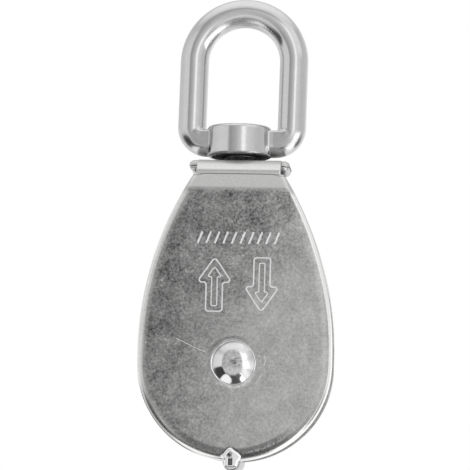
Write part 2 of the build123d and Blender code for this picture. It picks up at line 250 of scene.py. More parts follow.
def lathe(name, profile, axis, centre, segs, mats, mat_of=None, sharp=28, closed=True):
    """Turns a closed outline of (radius, along) points about an axis, Y or Z."""
    prof = np.array(profile, float)
    n = len(prof)
    on_axis = prof[:, 0] < 1e-6
    verts, ring = [], []
    for i in range(n):
        if on_axis[i]:
            ring.append([len(verts)] * segs)
            verts.append((0.0, 0.0, prof[i, 1]))
        else:
            ring.append(list(range(len(verts), len(verts) + segs)))
            for s in range(segs):
                t = 2 * math.pi * s / segs
                verts.append((prof[i, 0] * math.cos(t), prof[i, 0] * math.sin(t), prof[i, 1]))
    faces, index = [], []
    for i in range(n if closed else n - 1):
        j = (i + 1) % n
        if on_axis[i] and on_axis[j]:
            continue
        for s in range(segs):
            t = (s + 1) % segs
            f = [ring[i][s], ring[i][t], ring[j][t], ring[j][s]]
            g = []
            for v in f:
                if v not in g:
                    g.append(v)
            faces.append(g)
            index.append(mat_of(prof[i], prof[j]) if mat_of else 0)
    v = np.array(verts)
    if axis == "Z":
        w = v + np.array(centre)
    else:
        w = np.stack([v[:, 0], v[:, 2], -v[:, 1]], 1) + np.array(centre)
    # the outline's turning decides which way the faces look
    area = sum(prof[i, 0] * prof[(i + 1) % n, 1] - prof[(i + 1) % n, 0] * prof[i, 1] for i in range(n))
    if area < 0:
        faces = [f[::-1] for f in faces]
    return mesh_object(name, w, faces, mats=mats, mat_index=index, sharp=sharp)


# --------------------------------------------------------------- materials
class Nodes:
    """Small helper that adds and links shader nodes."""

    def __init__(self, tree):
        self.t = tree
        tree.nodes.clear()

    def add(self, kind, ins=None, **props):
        n = self.t.nodes.new(kind)
        for k, v in props.items():
            setattr(n, k, v)
        for k, v in (ins or {}).items():
            self.put(n.inputs[k], v)
        return n

    def put(self, socket, v):
        if isinstance(v, bpy.types.NodeSocket):
            self.t.links.new(v, socket)
        else:
            socket.default_value = v

    def math(self, op, a, b=0.0, c=None, clamp=False):
        n = self.add("ShaderNodeMath", operation=op, use_clamp=clamp)
        self.put(n.inputs[0], a)
        self.put(n.inputs[1], b)
        if c is not None:
            self.put(n.inputs[2], c)
        return n.outputs[0]

    def range(self, v, a, b, c=0.0, d=1.0, kind="SMOOTHSTEP"):
        n = self.add("ShaderNodeMapRange", interpolation_type=kind)
        for s, x in zip(n.inputs[:5], (v, a, b, c, d)):
            self.put(s, x)
        return n.outputs[0]

    def mix(self, f, a, b):
        n = self.add("ShaderNodeMix", data_type="FLOAT")
        self.put(n.inputs[0], f)
        self.put(n.inputs[2], a)
        self.put(n.inputs[3], b)
        return n.outputs[0]

    def mixc(self, f, a, b, blend="MIX"):
        n = self.add("ShaderNodeMix", data_type="RGBA", blend_type=blend)
        self.put(n.inputs[0], f)
        self.put(n.inputs[6], a)
        self.put(n.inputs[7], b)
        return n.outputs[2]

    def noise(self, vec, scale, detail=2.0, rough=0.5, dist=0.0):
        n = self.add("ShaderNodeTexNoise")
        self.put(n.inputs["Vector"], vec)
        n.inputs["Scale"].default_value = scale
        n.inputs["Detail"].default_value = detail
        n.inputs["Roughness"].default_value = rough
        n.inputs["Distortion"].default_value = dist
        return n.outputs["Fac"]

    def grey(self, v):
        n = self.add("ShaderNodeCombineColor")
        for s in n.inputs[:3]:
            self.put(s, v)
        return n.outputs[0]

    def stretch(self, vec, rot, scale):
        n = self.add("ShaderNodeMapping")
        self.put(n.inputs["Vector"], vec)
        n.inputs["Rotation"].default_value = [math.radians(a) for a in rot]
        n.inputs["Scale"].default_value = scale
        return n.outputs["Vector"]


def material(name):
    m = bpy.data.materials.new(name)
    m.use_nodes = True
    g = Nodes(m.node_tree)
    out = g.add("ShaderNodeOutputMaterial")
    bsdf = g.add("ShaderNodeBsdfPrincipled")
    bsdf.inputs["Metallic"].default_value = 1.0
    g.t.links.new(bsdf.outputs[0], out.inputs[0])
    pos = g.add("ShaderNodeTexCoord").outputs["Object"]
    return m, g, bsdf, pos


def hairlines(g, pos, angles, scale, lo, hi):
    """Fine straight scratches at a few angles in the XZ plane, 0 to 1."""
    total = None
    for i, a in enumerate(angles):
        v = g.stretch(pos, (0, a, 0), (scale * 0.02, scale * 0.3, scale))
        s = g.range(g.noise(v, 1.0 + 0.13 * i, 2.0, 0.6), lo, hi)
        total = s if total is None else g.math("MAXIMUM", total, s)
    return total


def sheet_material():
    """Tumbled steel sheet: mottled flat faces, smoother where it is bent."""
    m, g, bsdf, pos = material("sheet_steel_tumbled")
    # the piece's own normal, so that the finish turns with the piece
    nrm = g.add("ShaderNodeTexCoord").outputs["Normal"]
    sep = g.add("ShaderNodeSeparateXYZ")
    g.put(sep.inputs[0], nrm)
    ny = g.math("ABSOLUTE", sep.outputs[1])
    high = g.add("ShaderNodeSeparateXYZ")
    g.put(high.inputs[0], pos)
    neck = g.range(high.outputs[2], (AXLE_Z + BEND_H - 0.55) * MM, (AXLE_Z + BEND_H + 0.95) * MM, 1.0, 0.0)
    tilt2 = g.math("SUBTRACT", 1.0, g.math("MULTIPLY", ny, ny), clamp=True)
    tilt = g.math("SQRT", tilt2)
    right = g.range(sep.outputs[0], -0.03, 0.06)
    # painted highlight: on the right the bright strip on the roll reaches further in, the higher up it is
    upper = g.math("MULTIPLY", right, g.range(high.outputs[2], (AXLE_Z + 4) * MM, (AXLE_Z + 30) * MM))
    # the roll is polished; on the right its sharp-edged bright strip is a painted highlight
    buffed_and_painted_highlight = g.mix(right, g.math("POWER", tilt, 0.64), g.range(g.math("ADD", tilt, g.math("MULTIPLY", upper, 0.24)), 0.58, 0.80))
    # the sheared edge of the sheet is bright too
    outer = g.range(g.math("ABSOLUTE", high.outputs[1]), 5.3 * MM, 5.8 * MM)
    skin = g.math("MULTIPLY", neck, outer)
    flat = g.math("MULTIPLY", g.math("SUBTRACT", 1.0, buffed_and_painted_highlight), skin)
    dull = g.math("MULTIPLY", g.mix(right, g.range(tilt, 0.03, 0.36, 1.0, 0.0), g.math("SUBTRACT", 1.0, buffed_and_painted_highlight)), skin)
    xm = g.math("MULTIPLY", high.outputs[0], 1000.0)
    hm = g.math("SUBTRACT", g.math("MULTIPLY", high.outputs[2], 1000.0), AXLE_Z)
    fine = g.noise(pos, 4300, 2.0, 0.6)
    grain = g.noise(pos, 1500, 3.0, 0.7, 0.4)
    patch = g.noise(pos, 210, 3.0, 0.55, 0.6)
    wide = g.noise(pos, 60, 2.0, 0.5)
    # painted light: the face is made lighter towards the lower right than the upper left
    wob = g.math("MULTIPLY", g.math("SUBTRACT", wide, 0.5), 9.0)
    side = g.math("ADD", xm, 12.0)
    slant = g.math("ADD", g.math("SUBTRACT", g.math("MULTIPLY", xm, 0.70), g.math("MULTIPLY", hm, 0.75)), 16.0)
    both = g.add("ShaderNodeMath", operation="SMOOTH_MIN")
    g.put(both.inputs[0], side)
    g.put(both.inputs[1], slant)
    g.put(both.inputs[2], 8.0)
    painted_shading = g.range(g.math("ADD", both.outputs[0], wob), -14.0, 15.0)
    level = g.math("ADD", g.math("ADD", 0.225, g.math("MULTIPLY", painted_shading, 0.175)), g.math("MULTIPLY", g.math("ADD", xm, 21.0), 0.0021))
    mott = g.math("ADD", g.math("MULTIPLY", g.range(grain, 0.30, 0.70, kind="LINEAR"), 0.50),
                  g.math("ADD", g.math("MULTIPLY", g.range(fine, 0.25, 0.75, kind="LINEAR"), 0.24),
                         g.math("MULTIPLY", g.range(patch, 0.3, 0.7, kind="LINEAR"), 0.26)))
    swing = g.math("ADD", 0.90, g.math("MULTIPLY", g.math("SUBTRACT", 1.0, painted_shading), 1.6))
    factor = g.math("ADD", 1.0, g.math("MULTIPLY", g.math("SUBTRACT", mott, 0.5), swing))
    specks = g.math("MULTIPLY", g.range(g.noise(pos, 1250, 2.0, 0.5), 0.63, 0.72), g.range(patch, 0.40, 0.60))
    specks = g.math("MULTIPLY", specks, g.math("SUBTRACT", 1.0, g.math("MULTIPLY", painted_shading, 0.8)))
    lines = hairlines(g, pos, (24, -38, 71, 5), 2600, 0.70, 0.78)
    # scuffs round the axle head, and a painted shadow line close to its upper side
    rad = g.math("SQRT", g.math("ADD", g.math("MULTIPLY", xm, xm), g.math("MULTIPLY", hm, hm)))
    ang = g.math("ARCTAN2", hm, xm)
    ringpos = g.add("ShaderNodeCombineXYZ")
    g.put(ringpos.inputs[0], g.math("MULTIPLY", rad, 2.6))
    g.put(ringpos.inputs[1], g.math("MULTIPLY", ang, 0.8))
    rings = g.range(g.noise(ringpos.outputs[0], 1.0, 2.0, 0.6), 0.55, 0.72)
    near = g.math("MULTIPLY", g.range(rad, 5.9, 6.6), g.range(rad, 8.0, 11.5, 1.0, 0.0))
    rings = g.math("MULTIPLY", g.math("MULTIPLY", rings, near), g.range(g.math("COSINE", g.math("ADD", ang, 0.2)), -0.1, 0.9, 0.25, 1.0))
    dirt_and_shade = g.math("MULTIPLY", g.math("MULTIPLY", g.range(rad, 6.25, 6.6), g.range(rad, 6.8, 7.3, 1.0, 0.0)),
                  g.range(g.math("COSINE", g.math("SUBTRACT", ang, 1.9)), 0.45, 0.9))
    dirt_and_shade = g.math("MULTIPLY", dirt_and_shade, g.range(grain, 0.38, 0.60, 0.15, 1.0))
    # the same painted shadow along the guard head's upper outline
    for (ax_, ah_), (bx_, bh_) in (((-3.1, -24.3), (-0.2, -21.85)), ((0.2, -21.95), (2.85, -24.0))):
        ln = math.hypot(bx_ - ax_, bh_ - ah_)
        ux_, uh_ = (bx_ - ax_) / ln, (bh_ - ah_) / ln
        px, ph = g.math("SUBTRACT", xm, ax_), g.math("SUBTRACT", hm, ah_)
        along = g.math("ADD", g.math("MULTIPLY", px, ux_), g.math("MULTIPLY", ph, uh_))
        out_ = g.math("ADD", g.math("MULTIPLY", px, -uh_), g.math("MULTIPLY", ph, ux_))
        m_ = g.math("MULTIPLY", g.math("MULTIPLY", g.range(along, -0.3, 0.3), g.range(along, ln - 0.3, ln + 0.3, 1.0, 0.0)),
                    g.math("MULTIPLY", g.range(out_, -0.4, 0.05), g.range(out_, 0.20, 0.60, 1.0, 0.0)))
        dirt_and_shade = g.math("MAXIMUM", dirt_and_shade, m_)
    base = g.math("MULTIPLY", level, factor)
    base = g.math("ADD", base, g.math("MULTIPLY", specks, 0.26))
    base = g.math("ADD", base, g.math("MULTIPLY", lines, 0.08))
    base = g.math("ADD", base, g.math("MULTIPLY", rings, 0.16))
    # and a painted sheen on the sheet just below the head
    halo = g.math("MULTIPLY", g.math("MULTIPLY", g.range(rad, 5.7, 6.0), g.range(rad, 6.4, 6.9, 1.0, 0.0)),
                  g.range(g.math("COSINE", g.math("ADD", ang, 1.35)), 0.45, 0.85))
    base = g.math("ADD", base, g.math("MULTIPLY", halo, g.range(grain, 0.25, 0.7, 0.10, 0.24)))
    base = g.math("MULTIPLY", base, g.math("SUBTRACT", 1.0, g.math("MULTIPLY", dirt_and_shade, 0.55)), clamp=True)
    # painted shade: on the right the roll is darkened just inside its painted highlight
    base = g.math("MULTIPLY", base, g.math("SUBTRACT", 1.0, g.math("MULTIPLY", g.math("MULTIPLY", g.math("SUBTRACT", right, g.math("MULTIPLY", upper, 0.9)),
                                                                                      g.range(tilt, 0.06, 0.50)), 0.40)))
    # painted highlight: the roll's colour is lighter on the right than on the left
    rim = g.range(hm, BEND_H - 2, BEND_H, g.mix(right, 0.90, 0.98), 0.62)
    bright = g.math("ADD", rim, g.math("MULTIPLY", g.math("SUBTRACT", grain, 0.5), 0.16))
    # painted dark reflection: the roll is darkened along the bottom
    under = g.math("DIVIDE", g.math("MULTIPLY", hm, -1.0), g.math("MAXIMUM", rad, 1.0))
    painted_bottom_shade = g.math("MULTIPLY", g.math("MULTIPLY", g.range(rad, 21.9, 22.6), g.range(rad, 24.0, 24.8, 1.0, 0.0)), g.range(under, 0.64, 0.92))
    painted_bottom_shade = g.math("MULTIPLY", painted_bottom_shade, g.range(grain, 0.20, 0.75, 1.10, 0.80))
    base = g.math("MULTIPLY", base, g.math("SUBTRACT", 1.0, g.math("MULTIPLY", painted_bottom_shade, 0.55)))
    # with a few bright rubbed spots along it, right of the guard rivet
    spots = g.math("MULTIPLY", g.math("MULTIPLY", g.range(rad, 23.15, 23.45), g.range(rad, 23.6, 23.9, 1.0, 0.0)),
                   g.math("MULTIPLY", g.range(xm, 2.4, 3.6), g.range(xm, 12.0, 15.0, 1.0, 0.0)))
    spots = g.math("MULTIPLY", g.math("MULTIPLY", spots, g.range(under, 0.5, 0.8)), g.range(grain, 0.38, 0.56))
    base = g.math("ADD", base, g.math("MULTIPLY", spots, 0.20))
    bright = g.math("MULTIPLY", bright, g.math("SUBTRACT", 1.0, g.math("MULTIPLY", painted_bottom_shade, 0.72)))
    # and its outermost line is darkened at the lower left, a painted shade
    left_low = g.math("MULTIPLY", g.math("MULTIPLY", g.range(under, 0.10, 0.40), g.range(sep.outputs[0], -0.50, -0.30, 1.0, 0.0)), g.range(tilt, 0.86, 0.96))
    bright = g.math("MULTIPLY", bright, g.math("SUBTRACT", 1.0, g.math("MULTIPLY", left_low, 0.72)))
    # light glances off the outer edges less than off the polished bar
    edge = g.math("MULTIPLY", g.math("MULTIPLY", upper, g.range(tilt, 0.86, 0.96)), 0.34)
    bright = g.math("MULTIPLY", bright, g.math("SUBTRACT", 1.0, edge))
    # that painted shade and the dimmer glance off the upper right edges also darken the reflection's tint
    g.put(bsdf.inputs["Specular Tint"], g.grey(g.math("SUBTRACT", 1.0, g.math("MAXIMUM", g.math("MULTIPLY", left_low, 0.95), edge))))
    # painted shadow: a dark line where the neck meets the fold, under the fold's lower edge
    sag = g.math("ADD", hm, g.math("MULTIPLY", g.range(g.math("ABSOLUTE", xm), 8.3, 11.2), 0.45))
    painted_crease_shadow = g.math("MULTIPLY", g.range(sag, 49.60, 49.74), g.range(sag, 49.84, 50.00, 1.0, 0.0))
    bright = g.math("MULTIPLY", bright, g.math("SUBTRACT", 1.0, g.math("MULTIPLY", painted_crease_shadow, 0.44)))
    value = g.mix(flat, bright, base)
    # drawing lines run along the roll on the left
    lane = g.add("ShaderNodeCombineXYZ")
    g.put(lane.inputs[0], g.math("MULTIPLY", tilt, 13.0))
    g.put(lane.inputs[1], g.math("MULTIPLY", ang, 1.6))
    lanes = g.range(g.noise(lane.outputs[0], 1.0, 2.0, 0.6), 0.30, 0.70, kind="LINEAR")
    drawn = g.math("MULTIPLY", g.math("MULTIPLY", g.math("SUBTRACT", 1.0, right), g.range(tilt, 0.06, 0.22)), skin)
    value = g.math("MULTIPLY", value, g.math("ADD", 1.0, g.math("MULTIPLY", g.math("MULTIPLY", g.math("SUBTRACT", lanes, 0.5), drawn), 0.34)))
    tint = g.add("ShaderNodeCombineColor")
    g.put(tint.inputs[0], value)
    g.put(tint.inputs[1], value)
    g.put(tint.inputs[2], g.math("MULTIPLY", value, 0.99))
    g.put(bsdf.inputs["Base Color"], tint.outputs[0])
    # the ears were not polished
    ear = g.math("MULTIPLY", g.range(g.math("ABSOLUTE", xm), FOLD_HALF_W - 0.1, FOLD_HALF_W + 0.15), g.range(hm, 50.2, 50.6))
    low = g.range(hm, BEND_H - 2.0, BEND_H, 0.25, 0.20)
    top = g.math("MULTIPLY", g.range(sep.outputs[2], 0.55, 0.85), g.range(hm, 50.2, 50.6))
    gloss = g.mix(ear, g.math("ADD", low, g.math("MULTIPLY", g.math("SUBTRACT", grain, 0.5), 0.14)), 0.42)
    gloss = g.mix(top, gloss, 0.62)
    gloss = g.mix(outer, 0.65, gloss)
    rough = g.mix(dull, gloss, g.math("ADD", 0.36, g.math("MULTIPLY", mott, 0.16)))
    g.put(bsdf.inputs["Roughness"], rough)
    height = g.math("ADD", g.math("MULTIPLY", fine, 0.5), g.math("ADD", grain, g.math("MULTIPLY", lines, -0.6)))
    bump = g.add("ShaderNodeBump")
    bump.inputs["Distance"].default_value = 0.00003
    g.put(bump.inputs["Strength"], g.mix(dull, 0.12, 0.55))
    g.put(bump.inputs["Height"], height)
    g.put(bsdf.inputs["Normal"], bump.outputs[0])
    return m


def polished_material(name, base, rough, wave=0.05, dirt_and_shade=0.0):
    """Buffed steel: even, with faint polishing lines and soft unevenness."""
    m, g, bsdf, pos = material(name)
    soft = g.noise(pos, 260, 2.0, 0.5)
    fine = g.noise(pos, 2400, 3.0, 0.6)
    lines = hairlines(g, pos, (12, -64, 80), 3000, 0.62, 0.80)
    v = g.math("ADD", base - 0.04, g.math("MULTIPLY", soft, 0.05))
    v = g.math("ADD", v, g.math("MULTIPLY", lines, 0.05))
    v = g.math("SUBTRACT", v, g.math("MULTIPLY", g.range(fine, 0.55, 0.75), 0.06 + dirt_and_shade))
    g.put(bsdf.inputs["Base Color"], g.grey(v))
    g.put(bsdf.inputs["Roughness"], g.math("ADD", rough - 0.03, g.math("ADD", g.math("MULTIPLY", soft, 0.05),
                                                                       g.math("MULTIPLY", lines, 0.06))))
    h = g.math("ADD", g.math("MULTIPLY", soft, 3.0), g.math("ADD", g.math("MULTIPLY", fine, 0.25), g.math("MULTIPLY", lines, -0.2)))
    bump = g.add("ShaderNodeBump")
    bump.inputs["Distance"].default_value = 0.00003
    bump.inputs["Strength"].default_value = wave
    g.put(bump.inputs["Height"], h)
    g.put(bsdf.inputs["Normal"], bump.outputs[0])
    return m


def eye_material():
    """Buffed casting: bright on the bar, duller in the yoke's web and low on the hub, where painted shade also darkens
    it.
    """
    m, g, bsdf, pos = material("eye_steel_buffed")
    nrm = g.add("ShaderNodeSeparateXYZ")
    g.put(nrm.inputs[0], g.add("ShaderNodeTexCoord").outputs["Normal"])
    sep = g.add("ShaderNodeSeparateXYZ")
    g.put(sep.inputs[0], pos)
    xm = g.math("ABSOLUTE", g.math("MULTIPLY", sep.outputs[0], 1000.0))
    zm = g.math("MULTIPLY", sep.outputs[2], 1000.0)
    soft = g.noise(pos, 260, 2.0, 0.5)
    grain = g.noise(pos, 1500, 3.0, 0.65, 0.3)
    fine = g.noise(pos, 2800, 2.0, 0.6)
    lines = hairlines(g, pos, (12, -64, 80), 3000, 0.62, 0.80)
    face = g.range(g.math("ABSOLUTE", nrm.outputs[1]), 0.90, 0.97)
    web = g.math("MULTIPLY", g.math("MULTIPLY", face, g.range(zm, -18.9, -18.3, 1.0, 0.0)),
                 g.math("MULTIPLY", g.range(xm, 8.3, 8.7), g.range(xm, 12.2, 14.2, 1.0, 0.0)))
    web = g.math("MULTIPLY", web, g.range(grain, 0.25, 0.7, 0.75, 1.1))
    # painted shade: the hub's lower rounding, above the swivel's gap, is darkened
    low = g.math("MULTIPLY", g.range(zm, -25.2, -24.5, 1.0, 0.0), g.range(xm, 8.9, 9.6, 1.0, 0.0))
    low = g.math("MULTIPLY", low, g.range(grain, 0.30, 0.65, 0.5, 1.0))
    v = g.math("ADD", 0.57, g.math("MULTIPLY", soft, 0.06))
    v = g.math("ADD", v, g.math("MULTIPLY", g.math("SUBTRACT", grain, 0.5), 0.10))
    v = g.math("ADD", v, g.math("MULTIPLY", lines, 0.05))
    v = g.math("MULTIPLY", v, g.math("SUBTRACT", 1.0, g.math("MULTIPLY", web, 0.24)))
    v = g.math("MULTIPLY", v, g.math("SUBTRACT", 1.0, g.math("MULTIPLY", low, 0.45)))
    # the rope's rubbing marks the underside of the bow; its lighter colour there, set by which way the surface faces,
    # is a painted highlight
    rub_and_painted_highlight = g.math("MULTIPLY", g.range(nrm.outputs[2], -0.18, -0.45), g.range(zm, 1.5, 7.0))
    v = g.math("ADD", v, g.math("MULTIPLY", rub_and_painted_highlight, g.range(nrm.outputs[2], -0.92, -0.60, -0.03, 0.16)))
    xs = g.math("MULTIPLY", sep.outputs[0], 1000.0)
    along = g.add("ShaderNodeCombineXYZ")
    g.put(along.inputs[0], g.math("MULTIPLY", g.math("SQRT", g.math("ADD", g.math("MULTIPLY", xs, xs), g.math("MULTIPLY", zm, zm))), 1.7))
    g.put(along.inputs[1], g.math("MULTIPLY", sep.outputs[1], 1700.0))
    g.put(along.inputs[2], g.math("MULTIPLY", g.math("ARCTAN2", xs, zm), 0.9))
    streak = g.range(g.noise(along.outputs[0], 1.0, 3.0, 0.65, 0.3), 0.32, 0.68, kind="LINEAR")
    v = g.math("ADD", v, g.math("MULTIPLY", g.math("MULTIPLY", rub_and_painted_highlight, g.math("SUBTRACT", streak, 0.5)), 0.34))
    g.put(bsdf.inputs["Base Color"], g.grey(v))
    rough = g.math("ADD", 0.10, g.math("ADD", g.math("MULTIPLY", soft, 0.05), g.math("MULTIPLY", lines, 0.06)))
    corner = g.math("MULTIPLY", g.range(xm, 8.8, 10.0), g.range(zm, -19.5, -17.0, 1.0, 0.0))
    rough = g.math("ADD", rough, g.math("MULTIPLY", corner, 0.09))
    rough = g.math("ADD", rough, g.math("MULTIPLY", rub_and_painted_highlight, g.math("ADD", 0.10, g.math("MULTIPLY", streak, 0.18))))
    g.put(bsdf.inputs["Roughness"], g.math("ADD", rough, g.math("MULTIPLY", g.math("MAXIMUM", web, low), 0.20)))
    h = g.math("ADD", g.math("MULTIPLY", soft, 3.0), g.math("ADD", g.math("MULTIPLY", fine, 0.3), g.math("MULTIPLY", grain, 0.4)))
    bump = g.add("ShaderNodeBump")
    bump.inputs["Distance"].default_value = 0.00003
    g.put(bump.inputs["Strength"], g.math("ADD", 0.07, g.math("MULTIPLY", web, 0.25)))
    g.put(bump.inputs["Height"], h)
    g.put(bsdf.inputs["Normal"], bump.outputs[0])
    return m


def dome_material():
    """Bright rivet head with a scuffed, duller crown."""
    m, g, bsdf, pos = material("rivet_steel_crowned")
    sep = g.add("ShaderNodeSeparateXYZ")
    g.put(sep.inputs[0], pos)
    xm = g.math("MULTIPLY", sep.outputs[0], 1000.0)
    hm = g.math("SUBTRACT", g.math("MULTIPLY", sep.outputs[2], 1000.0), AXLE_Z)
    ym = g.math("ABSOLUTE", g.math("MULTIPLY", sep.outputs[1], 1000.0))
    ex = g.math("DIVIDE", g.math("ADD", xm, 0.1), 2.75)
    ez = g.math("DIVIDE", hm, 3.6)
    grain = g.noise(pos, 1700, 3.0, 0.6, 0.3)
    soft = g.noise(pos, 520, 2.0, 0.5)
    e = g.math("SQRT", g.math("ADD", g.math("MULTIPLY", ex, ex), g.math("MULTIPLY", ez, ez)))
    e = g.math("ADD", e, g.math("MULTIPLY", g.math("SUBTRACT", soft, 0.5), 0.12))
    crown = g.math("MULTIPLY", g.range(e, 0.90, 1.06, 1.0, 0.0), g.range(ym, HALF_THICK + 1.6, HALF_THICK + 1.8))
    # a few dents right of the middle
    dx = g.math("DIVIDE", g.math("SUBTRACT", xm, 0.75), 2.1)
    dz = g.math("DIVIDE", g.math("SUBTRACT", hm, 0.1), 1.7)
    here = g.range(g.math("SQRT", g.math("ADD", g.math("MULTIPLY", dx, dx), g.math("MULTIPLY", dz, dz))), 0.35, 1.0, 1.0, 0.0)
    v = g.stretch(pos, (0, 24, 0), (900, 900, 2100))
    dents = g.math("MULTIPLY", g.range(g.noise(v, 1.0, 2.0, 0.5, 0.8), 0.44, 0.56), here)
    way = g.add("ShaderNodeSeparateXYZ")
    g.put(way.inputs[0], g.add("ShaderNodeTexCoord").outputs["Normal"])
    # painted reflection: the flank's colour follows which way it faces, lighter to the right, darker facing up and to
    # the lower right
    upper = g.range(way.outputs[2], 0.25, 0.55)
    rub_and_painted_shade = g.math("MULTIPLY", g.range(way.outputs[0], 0.50, 0.66), g.range(way.outputs[2], -0.62, -0.45))
    flank = g.math("ADD", 0.72, g.math("MULTIPLY", g.range(way.outputs[0], 0.05, 0.30), g.math("SUBTRACT", 0.28, g.math("MULTIPLY", upper, 0.22))))
    flank = g.math("SUBTRACT", flank, g.math("MULTIPLY", upper, g.math("ADD", 0.04, g.math("MULTIPLY", soft, 0.20))))
    flank = g.math("MULTIPLY", flank, g.math("SUBTRACT", 1.0, g.math("MULTIPLY", rub_and_painted_shade, 0.42)))
    # painted shade: a darker stretch low on the right of the flank, which is also rougher
    turn = g.math("ARCTAN2", way.outputs[2], way.outputs[0])
    painted_shading = g.math("MULTIPLY", g.range(turn, -0.98, -0.84), g.range(turn, -0.42, -0.26, 1.0, 0.0))
    flank = g.math("MULTIPLY", flank, g.math("SUBTRACT", 1.0, g.math("MULTIPLY", painted_shading, 0.30)))
    rub_and_painted_shade = g.math("MAXIMUM", rub_and_painted_shade, painted_shading)
    base = g.mix(crown, flank, g.math("ADD", g.math("ADD", 0.38, g.math("MULTIPLY", g.range(hm, -0.6, -2.8), 0.16)),
                        g.math("MULTIPLY", g.range(grain, 0.28, 0.72, kind="LINEAR"), 0.36)))
    base = g.math("SUBTRACT", base, g.math("MULTIPLY", dents, 0.34))
    g.put(bsdf.inputs["Base Color"], g.grey(base))
    shine = g.math("ADD", g.math("ADD", 0.085, g.math("MULTIPLY", rub_and_painted_shade, 0.30)), g.math("MULTIPLY", soft, 0.05))
    g.put(bsdf.inputs["Roughness"], g.mix(crown, shine,
                                          g.math("ADD", 0.30, g.math("MULTIPLY", grain, 0.16))))
    height = g.math("SUBTRACT", g.math("MULTIPLY", grain, g.mix(crown, 0.12, 1.0)), g.math("MULTIPLY", dents, 3.0))
    bump = g.add("ShaderNodeBump")
    bump.inputs["Distance"].default_value = 0.00003
    bump.inputs["Strength"].default_value = 0.45
    g.put(bump.inputs["Height"], height)
    g.put(bsdf.inputs["Normal"], bump.outputs[0])
    return m


def turned_material(name, base, rough, centre):
    """Lathe-turned faces: fine rings about the axle."""
    m, g, bsdf, pos = material(name)
    sub = g.add("ShaderNodeVectorMath", operation="SUBTRACT")
    g.put(sub.inputs[0], pos)
    sub.inputs[1].default_value = centre
    sep = g.add("ShaderNodeSeparateXYZ")
    g.put(sep.inputs[0], sub.outputs[0])
    rad = g.math("SQRT", g.math("ADD", g.math("MULTIPLY", sep.outputs[0], sep.outputs[0]),
                                g.math("MULTIPLY", sep.outputs[2], sep.outputs[2])))
    comb = g.add("ShaderNodeCombineXYZ")
    g.put(comb.inputs[0], rad)
    g.put(comb.inputs[1], sep.outputs[1])
    rings = g.noise(comb.outputs[0], 5200, 2.0, 0.6)
    soft = g.noise(pos, 300, 2.0, 0.5)
    v = g.math("ADD", base - 0.05, g.math("ADD", g.math("MULTIPLY", rings, 0.10), g.math("MULTIPLY", soft, 0.04)))
    g.put(bsdf.inputs["Base Color"], g.grey(v))
    g.put(bsdf.inputs["Roughness"], g.math("ADD", rough, g.math("MULTIPLY", rings, 0.10)))
    bump = g.add("ShaderNodeBump")
    bump.inputs["Distance"].default_value = 0.00002
    bump.inputs["Strength"].default_value = 0.35
    g.put(bump.inputs["Height"], rings)
    g.put(bsdf.inputs["Normal"], bump.outputs[0])
    return m


def coloured_metal(name, colour, rough):
    m, g, bsdf, pos = material(name)
    soft = g.noise(pos, 500, 3.0, 0.6)
    dark = tuple(c * 0.72 for c in colour[:3]) + (1.0,)
    g.put(bsdf.inputs["Base Color"], g.mixc(soft, dark, colour))
    g.put(bsdf.inputs["Roughness"], g.math("ADD", rough, g.math("MULTIPLY", soft, 0.15)))
    bump = g.add("ShaderNodeBump")
    bump.inputs["Distance"].default_value = 0.00002
    bump.inputs["Strength"].default_value = 0.3
    g.put(bump.inputs["Height"], soft)
    g.put(bsdf.inputs["Normal"], bump.outputs[0])
    return m


def engraved_material():
    """Fresh bright metal on the walls of the cut lines; their light colour is also a painted highlight for the light
    the walls catch.
    """
    m, g, bsdf, pos = material("engraved_steel")
    fine = g.noise(pos, 3800, 2.0, 0.6)
    g.put(bsdf.inputs["Base Color"], g.grey(g.math("ADD", 0.86, g.math("MULTIPLY", fine, 0.12))))
    g.put(bsdf.inputs["Roughness"], g.math("ADD", 0.50, g.math("MULTIPLY", fine, 0.15)))
    return m


def grease_and_shade_material():
    """Dark, slightly shiny old grease in the swivel's gap, painted dark also as the gap's shade."""
    m, g, bsdf, pos = material("swivel_grease_and_painted_shade")
    bsdf.inputs["Metallic"].default_value = 0.0
    soft = g.noise(pos, 900, 3.0, 0.6)
    g.put(bsdf.inputs["Base Color"], g.grey(g.math("ADD", 0.012, g.math("MULTIPLY", g.range(soft, 0.35, 0.7), 0.07))))
    g.put(bsdf.inputs["Roughness"], g.math("ADD", 0.55, g.math("MULTIPLY", soft, 0.35)))
    bsdf.inputs["Specular IOR Level"].default_value = 0.12
    bump = g.add("ShaderNodeBump")
    bump.inputs["Distance"].default_value = 0.00005
    bump.inputs["Strength"].default_value = 0.5
    g.put(bump.inputs["Height"], soft)
    g.put(bsdf.inputs["Normal"], bump.outputs[0])
    return m


M_SHEET = sheet_material()
M_EYE = eye_material()
M_DOME = dome_material()
M_PLAIN = polished_material("plain_steel_satin", 0.62, 0.38, 0.12, 0.04)
M_TURNED = turned_material("turned_steel_rings", 0.68, 0.24, (0.0, 0.0, AXLE_Z * MM))
M_BRONZE = coloured_metal("bush_bronze", (0.72, 0.50, 0.27, 1.0), 0.28)
M_MARK = engraved_material()
# near-black material: grease, and painted shade in the swivel's gap
M_GREASE_AND_SHADE = grease_and_shade_material()
# dark steel that paints shade into the guard head's recesses
M_RECESS_SHADE = coloured_metal("recess_painted_shade_steel", (0.20, 0.20, 0.20, 1.0), 0.42)


